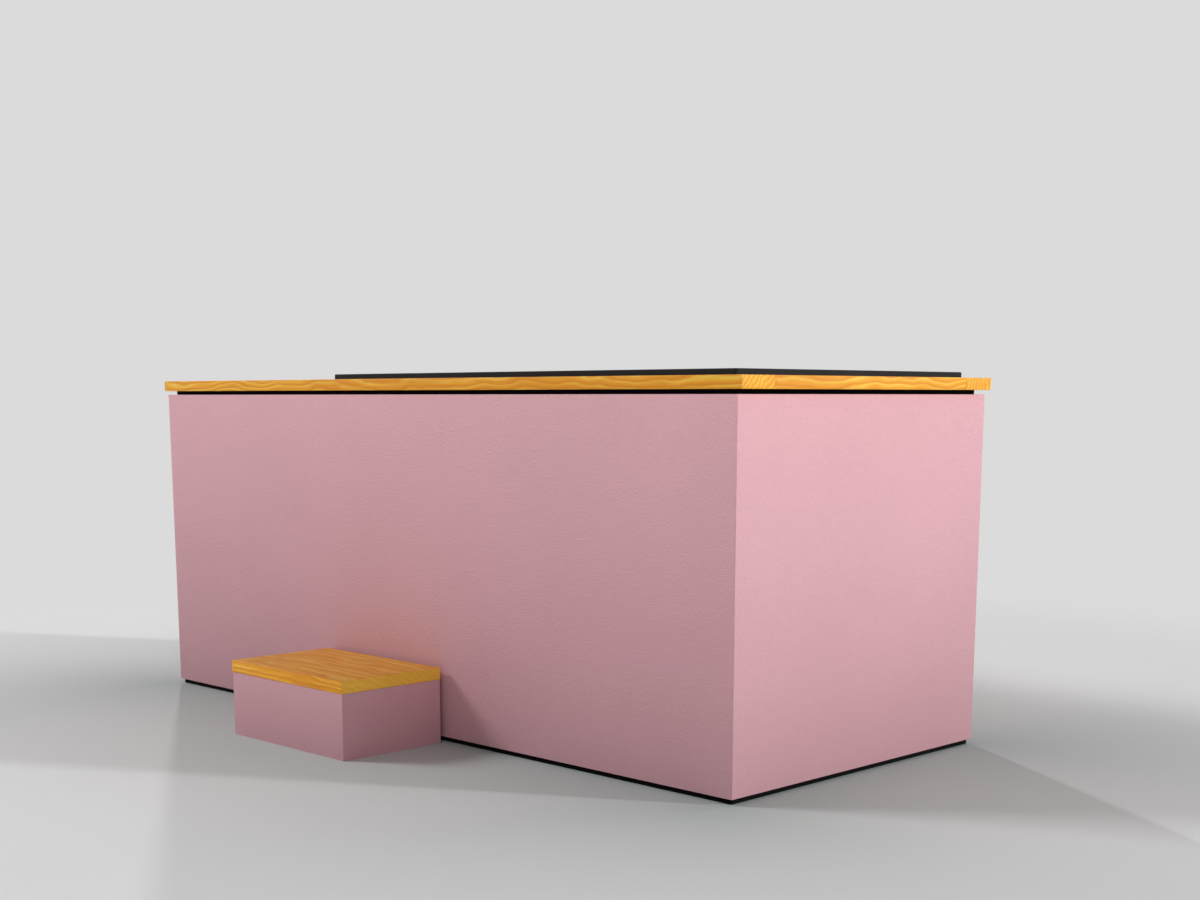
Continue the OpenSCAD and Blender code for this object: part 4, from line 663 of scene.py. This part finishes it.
LEFT_VENT = (0.160, 0.240)
REAR_VENT = (-0.6365, 0.477)
VENT_HALF = 149.9 * MM
VENT_REACH = 20 * MM
SPIGOT_HOLE = 13.3 * MM
GLAND_HOLE = 9.3 * MM
HOLE_DEPTH = 30 * MM
HOLE_FACES = 48


def block_cutter(low, high):
    bm = bmesh.new()
    add_block(bm, low, high)
    return put_in_scene("cutter", mesh_from(bm, "cutter"))


def rear_hole_cutter(node_name, radius):
    """A cylinder along Y, in line with the node, through the rear panel."""
    low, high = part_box(node_name)
    centre = ((low.x + high.x) / 2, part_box("rear_panel")[1].y, (low.z + high.z) / 2)
    bm = bmesh.new()
    bmesh.ops.create_cone(
        bm, cap_ends=True, segments=HOLE_FACES, radius1=radius, radius2=radius, depth=HOLE_DEPTH,
        matrix=Matrix.Translation(centre) @ Matrix.Rotation(math.radians(90), 4, "X"),
    )
    return put_in_scene("cutter", mesh_from(bm, "cutter"))


def left_end_openings():
    """A cutter for the vent on the left end."""
    y, z = LEFT_VENT
    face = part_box("vent_louvres")[0].x
    low = (face - VENT_REACH, y - VENT_HALF, z - VENT_HALF)
    high = (face + VENT_REACH, y + VENT_HALF, z + VENT_HALF)
    return [block_cutter(low, high)]


def rear_openings():
    """Cutters for the vent, the drain spigot and the mains gland at the rear."""
    x, z = REAR_VENT
    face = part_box("rear_panel")[1].y
    low = (x - VENT_HALF, face - VENT_REACH, z - VENT_HALF)
    high = (x + VENT_HALF, face + VENT_REACH, z + VENT_HALF)
    return [
        block_cutter(low, high),
        rear_hole_cutter("drain_spigot", SPIGOT_HOLE),
        rear_hole_cutter("mains_gland", GLAND_HOLE),
    ]


def cut_holes(piece, cutters):
    """Cuts the cutters' shapes out of a piece, and removes them."""
    for cutter in cutters:
        modifier = piece.modifiers.new("cut", "BOOLEAN")
        modifier.object = cutter
        modifier.operation = "DIFFERENCE"
        modifier.solver = "EXACT"
    bpy.context.view_layer.update()
    graph = bpy.context.evaluated_depsgraph_get()
    piece.data = bpy.data.meshes.new_from_object(piece.evaluated_get(graph))
    piece.modifiers.clear()
    round_shading(piece.data)
    for cutter in cutters:
        bpy.data.objects.remove(cutter)


def make_shell():
    """The four panels, each turned a quarter from the last. Shade is painted into their paint towards the
    floor, the most on the ends.
    """
    # two copies of the pink paint, with more painted shade on the ends than on the long panels
    long_panel_coat_with_painted_shade = powder_coat("pink powder coat, long panels", PINK, painted_shade_at_floor=0.77)
    end_panel_coat_with_painted_shade = powder_coat("pink powder coat, end panels", PINK, painted_shade_at_floor=0.69)
    openings = {"rear_panel": rear_openings, "left_end_panel": left_end_openings}
    for turns, node_name in enumerate(["front_panel", "right_end_panel", "rear_panel", "left_end_panel"]):
        paint = end_panel_coat_with_painted_shade if turns % 2 else long_panel_coat_with_painted_shade
        piece = link_piece(node_name + "_look", shell_panel(node_name, turns), [node_name], paint)
        if node_name in openings:
            cut_holes(piece, openings[node_name]())


# Deck, hatch and step

BOARD_EDGE = 1.2 * MM
BATTEN_EDGE = 1.5 * MM
STEP_BOX_EDGE = 1.2 * MM
TREAD_EDGE = 1.8 * MM
EDGE_FACES = 3
HATCH_BOARDS = 5
HATCH_GAP = 2 * MM
DECK_WOOD = {
    # node: axis of the grain, place of the pith line on the other two axes, seed
    "deck_front_board": (0, (-0.750, 1.150), 0.0),
    "deck_rear_board": (0, (0.050, 0.870), 11.0),
    "deck_right_board": (1, (0.830, 1.000), 23.0),
    "deck_middle_board": (1, (-0.560, 0.500), 37.0),
    "deck_left_board": (1, (-0.780, 1.050), 51.0),
}
TREAD_RING_SPACING = 12.5 * MM
# for the tread's top: darker red and green as painted shade, more blue as a painted sheen of the pale room
TREAD_TOP_PAINTED_SHADE_AND_SHEEN = (0.81, 0.84, 1.45, 1.0)


def board(node_name, material, radius):
    """A planed board with eased edges."""
    bm = bmesh.new()
    add_block(bm, *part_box(node_name))
    ease(bm, bm.edges, radius, EDGE_FACES)
    link_piece(node_name + "_look", mesh_from(bm, node_name + "_look"), [node_name], material)


def make_deck():
    for node_name, (along, pith, seed) in DECK_WOOD.items():
        board(node_name, wood(node_name + " wood", along, pith, seed=seed), BOARD_EDGE)
    low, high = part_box("hatch_boards")
    row = (1, low.y - HATCH_GAP / 2, (high.y - low.y + HATCH_GAP) / HATCH_BOARDS)
    hatch = wood("hatch wood", 0, (-0.400, 0.600), seed=67.0, row=row)
    dress("hatch_boards", BOARD_EDGE, hatch, EDGE_FACES)
    dress("hatch_battens", BATTEN_EDGE, wood("batten wood", 1, (-0.900, 0.500), seed=83.0))


def make_step():
    dress("step_box", STEP_BOX_EDGE, segments=EDGE_FACES)
    # the tread's end faces get the most painted light
    tread = wood("tread wood", 0, (-0.800, -0.280), TREAD_RING_SPACING, 5.0, 0.6, TREAD_TOP_PAINTED_SHADE_AND_SHEEN)
    board("step_tread", tread, TREAD_EDGE)


# Cover

COVER_RIM = 8 * MM  # how far in the rim reaches
COVER_SLACK = 0.1 * MM
COVER_EDGE = 2.4 * MM
COVER_FACES = 4
CORE_EDGE = 3.0 * MM
SEAL_EDGE = 1.0 * MM
GRIP_EDGE = 0.5 * MM


def on_cover_rim(edge):
    """The edge runs round the outside of the cover's top face."""
    low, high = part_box("cover_panel")
    a, b = (v.co for v in edge.verts)
    if min(a.z, b.z) < high.z - COVER_SLACK:
        return False
    middle = (a + b) / 2
    return not (
        low.x + COVER_RIM <= middle.x <= high.x - COVER_RIM
        and low.y + COVER_RIM <= middle.y <= high.y - COVER_RIM
    )


def make_cover():
    dress("cover_panel", COVER_EDGE, segments=COVER_FACES, test=on_cover_rim)
    dress("cover_core", CORE_EDGE)
    dress("cover_seal_strips", SEAL_EDGE)
    dress("cover_grips", GRIP_EDGE)


# Bath

BATH_FLOOR = 103 * MM
BATH_SLACK = 2 * MM
BATH_ROUNDING = 38 * MM
BATH_FACES = 8
LEAST_BEND = 0.3  # in radians
LEAST_EDGE = 50 * MM


def in_the_hollow(edge):
    """A concave edge inside the bath: two walls, or a wall and the floor."""
    if edge.calc_face_angle_signed(0) >= 0 or edge.calc_face_angle(0) <= LEAST_BEND:
        return False
    a, b = (v.co for v in edge.verts)
    return (a - b).length > LEAST_EDGE and min(a.z, b.z) > BATH_FLOOR - BATH_SLACK


def make_bath():
    """The moulded bath, its inner corners and floor edges rounded as a moulding's are."""
    bm = clean_copy("bath_shell")
    ease(bm, [edge for edge in inner_edges(bm) if in_the_hollow(edge)], BATH_ROUNDING, BATH_FACES)
    mesh = mesh_from(bm, "bath_shell_look")
    link_piece("bath_shell_look", mesh, ["bath_shell"], MATERIALS["bath_acrylic"])


# The rest keeps its CAD shape, with edges eased to these radii in millimetres

EASED = {
    "neck_strips": 0.8, "base_frame_tubes": 1.5, "base_panel": 0.6,
    "frame_posts": 1.5, "top_rails": 1.5, "bulkhead": 0.8, "insulation_boards": 1.5,
    "deck_screws": 0.4, "hatch_ledges": 0.8, "hatch_finger_ring": 0.5, "hinge_fixed_leaves": 0.3,
    "hinge_moving_leaves": 0.3, "wall_fittings": 0.8, "suction_grille": 0.6, "return_nozzle": 0.4,
    "water_pipes": 0.3, "pipe_elbows": 0.6, "drain_tee": 0.6, "drain_valve_body": 0.8,
    "drain_valve_ball": 0.3, "drain_valve_lever": 0.8, "drain_spigot": 0.8, "pump_housing": 1.5,
    "pump_impeller": 0.4, "pump_motor": 1.5, "filter_housing": 1.2, "filter_lid": 1.5,
    "steriliser": 1.0, "heat_exchanger": 1.2, "compressor": 1.5, "condenser": 0.6,
    "fan_shroud": 0.6, "fan_motor": 0.8, "fan_rotor": 0.3, "vent_louvres": 0.3,
    "mains_gland": 0.6, "control_box": 1.5, "control_key_set": 0.8, "control_key_mode": 0.8,
    "power_rocker": 0.8,
}
RUNNER_EDGE = 1.0 * MM


def make_rest():
    """The other pieces. The filter's pleats keep their CAD mesh as it is."""
    for node_name, radius in EASED.items():
        dress(node_name, radius * MM)
    # near black: partly the runners' own colour, partly painted shade for the gap under the shell
    dress("floor_runners", RUNNER_EDGE, plain("runner plastic darkened with painted gap shade", srgb(6, 6, 6), **MATT_BLACK))
    pleats = NODES["filter_cartridge"].data
    pleats.materials.clear()
    pleats.materials.append(MATERIALS["filter_paper"])


# Floor

FLOOR_TONE = srgb(222, 223, 223)
FLOOR_CLOUD = 0.015
FLOOR_DEPTH = 0.2 * MM
FLOOR_ROUGHNESS = 0.9
FLOOR_RADIUS = 30.0
FLOOR_SIDES = 96
# painted shade on the floor round the tub, tinted to cancel the pink light the tub throws on it
PAINTED_FLOOR_SHADE = srgb(169, 178, 176)
PAINTED_SHADE_REACH = 1.15
FADE_FROM, FADE_TO = 1.9, 3.2


def painted_shadow_near_tub(s):
    """Mask of the shade painted on the floor: falls from 1 where the tub meets the floor to 0 some way off.
    """
    low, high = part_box("front_panel")
    half = Vector((high.x, -low.y, 0))
    beyond = s.vector("SUBTRACT", s.vector("ABSOLUTE", s.place), half)
    away = s.length(s.vector("MAXIMUM", beyond))
    return s.maths("POWER", s.spread(away, 0.0, PAINTED_SHADE_REACH, 1.0, 0.0), 2.0)


def floor_material():
    """A pale studio floor, with shade painted on it round the tub's base. Far off it shows the wall's tone,
    as a studio's cove does, but gives no more light for it.
    """
    s = Shader("studio floor", Specular_IOR_Level=0.05)
    cloud = s.from_noise(s.noise(0.9, 3.0, 0.5))
    tone = s.blend(cloud, shade(FLOOR_TONE, 1 - FLOOR_CLOUD), shade(FLOOR_TONE, 1 + FLOOR_CLOUD))
    # paints shade on the floor round the tub
    tone = s.blend(painted_shadow_near_tub(s), tone, PAINTED_FLOOR_SHADE)
    s.finish(tone, FLOOR_ROUGHNESS, s.bump(s.noise(600.0, 2.0, 0.5), FLOOR_DEPTH))
    inputs = {"Value": s.length(s.place), "From Min": FADE_FROM, "From Max": FADE_TO}
    far = s.add("ShaderNodeMapRange", inputs, interpolation_type="SMOOTHSTEP").outputs["Result"]
    share = s.maths("MULTIPLY", far, shows_background(s.nodes, s.links))
    glow = s.add("ShaderNodeEmission", {"Color": WHITE, "Strength": WALL_LEVEL})
    mixed = s.add("ShaderNodeMixShader", {0: share, 1: s.surface.outputs[0], 2: glow.outputs[0]})
    s.links.new(mixed.outputs[0], s.nodes["Material Output"].inputs["Surface"])
    return s.material


def make_floor():
    bm = bmesh.new()
    bmesh.ops.create_circle(bm, cap_ends=True, segments=FLOOR_SIDES, radius=FLOOR_RADIUS)
    mesh = mesh_from(bm, "floor")
    mesh.materials.append(floor_material())
    floor = put_in_scene("floor", mesh)


make_camera()
make_lights()
make_room()
make_floor()
make_shell()
make_deck()
make_cover()
make_step()
make_bath()
make_rest()
bpy.context.scene.view_settings.view_transform = "Standard"
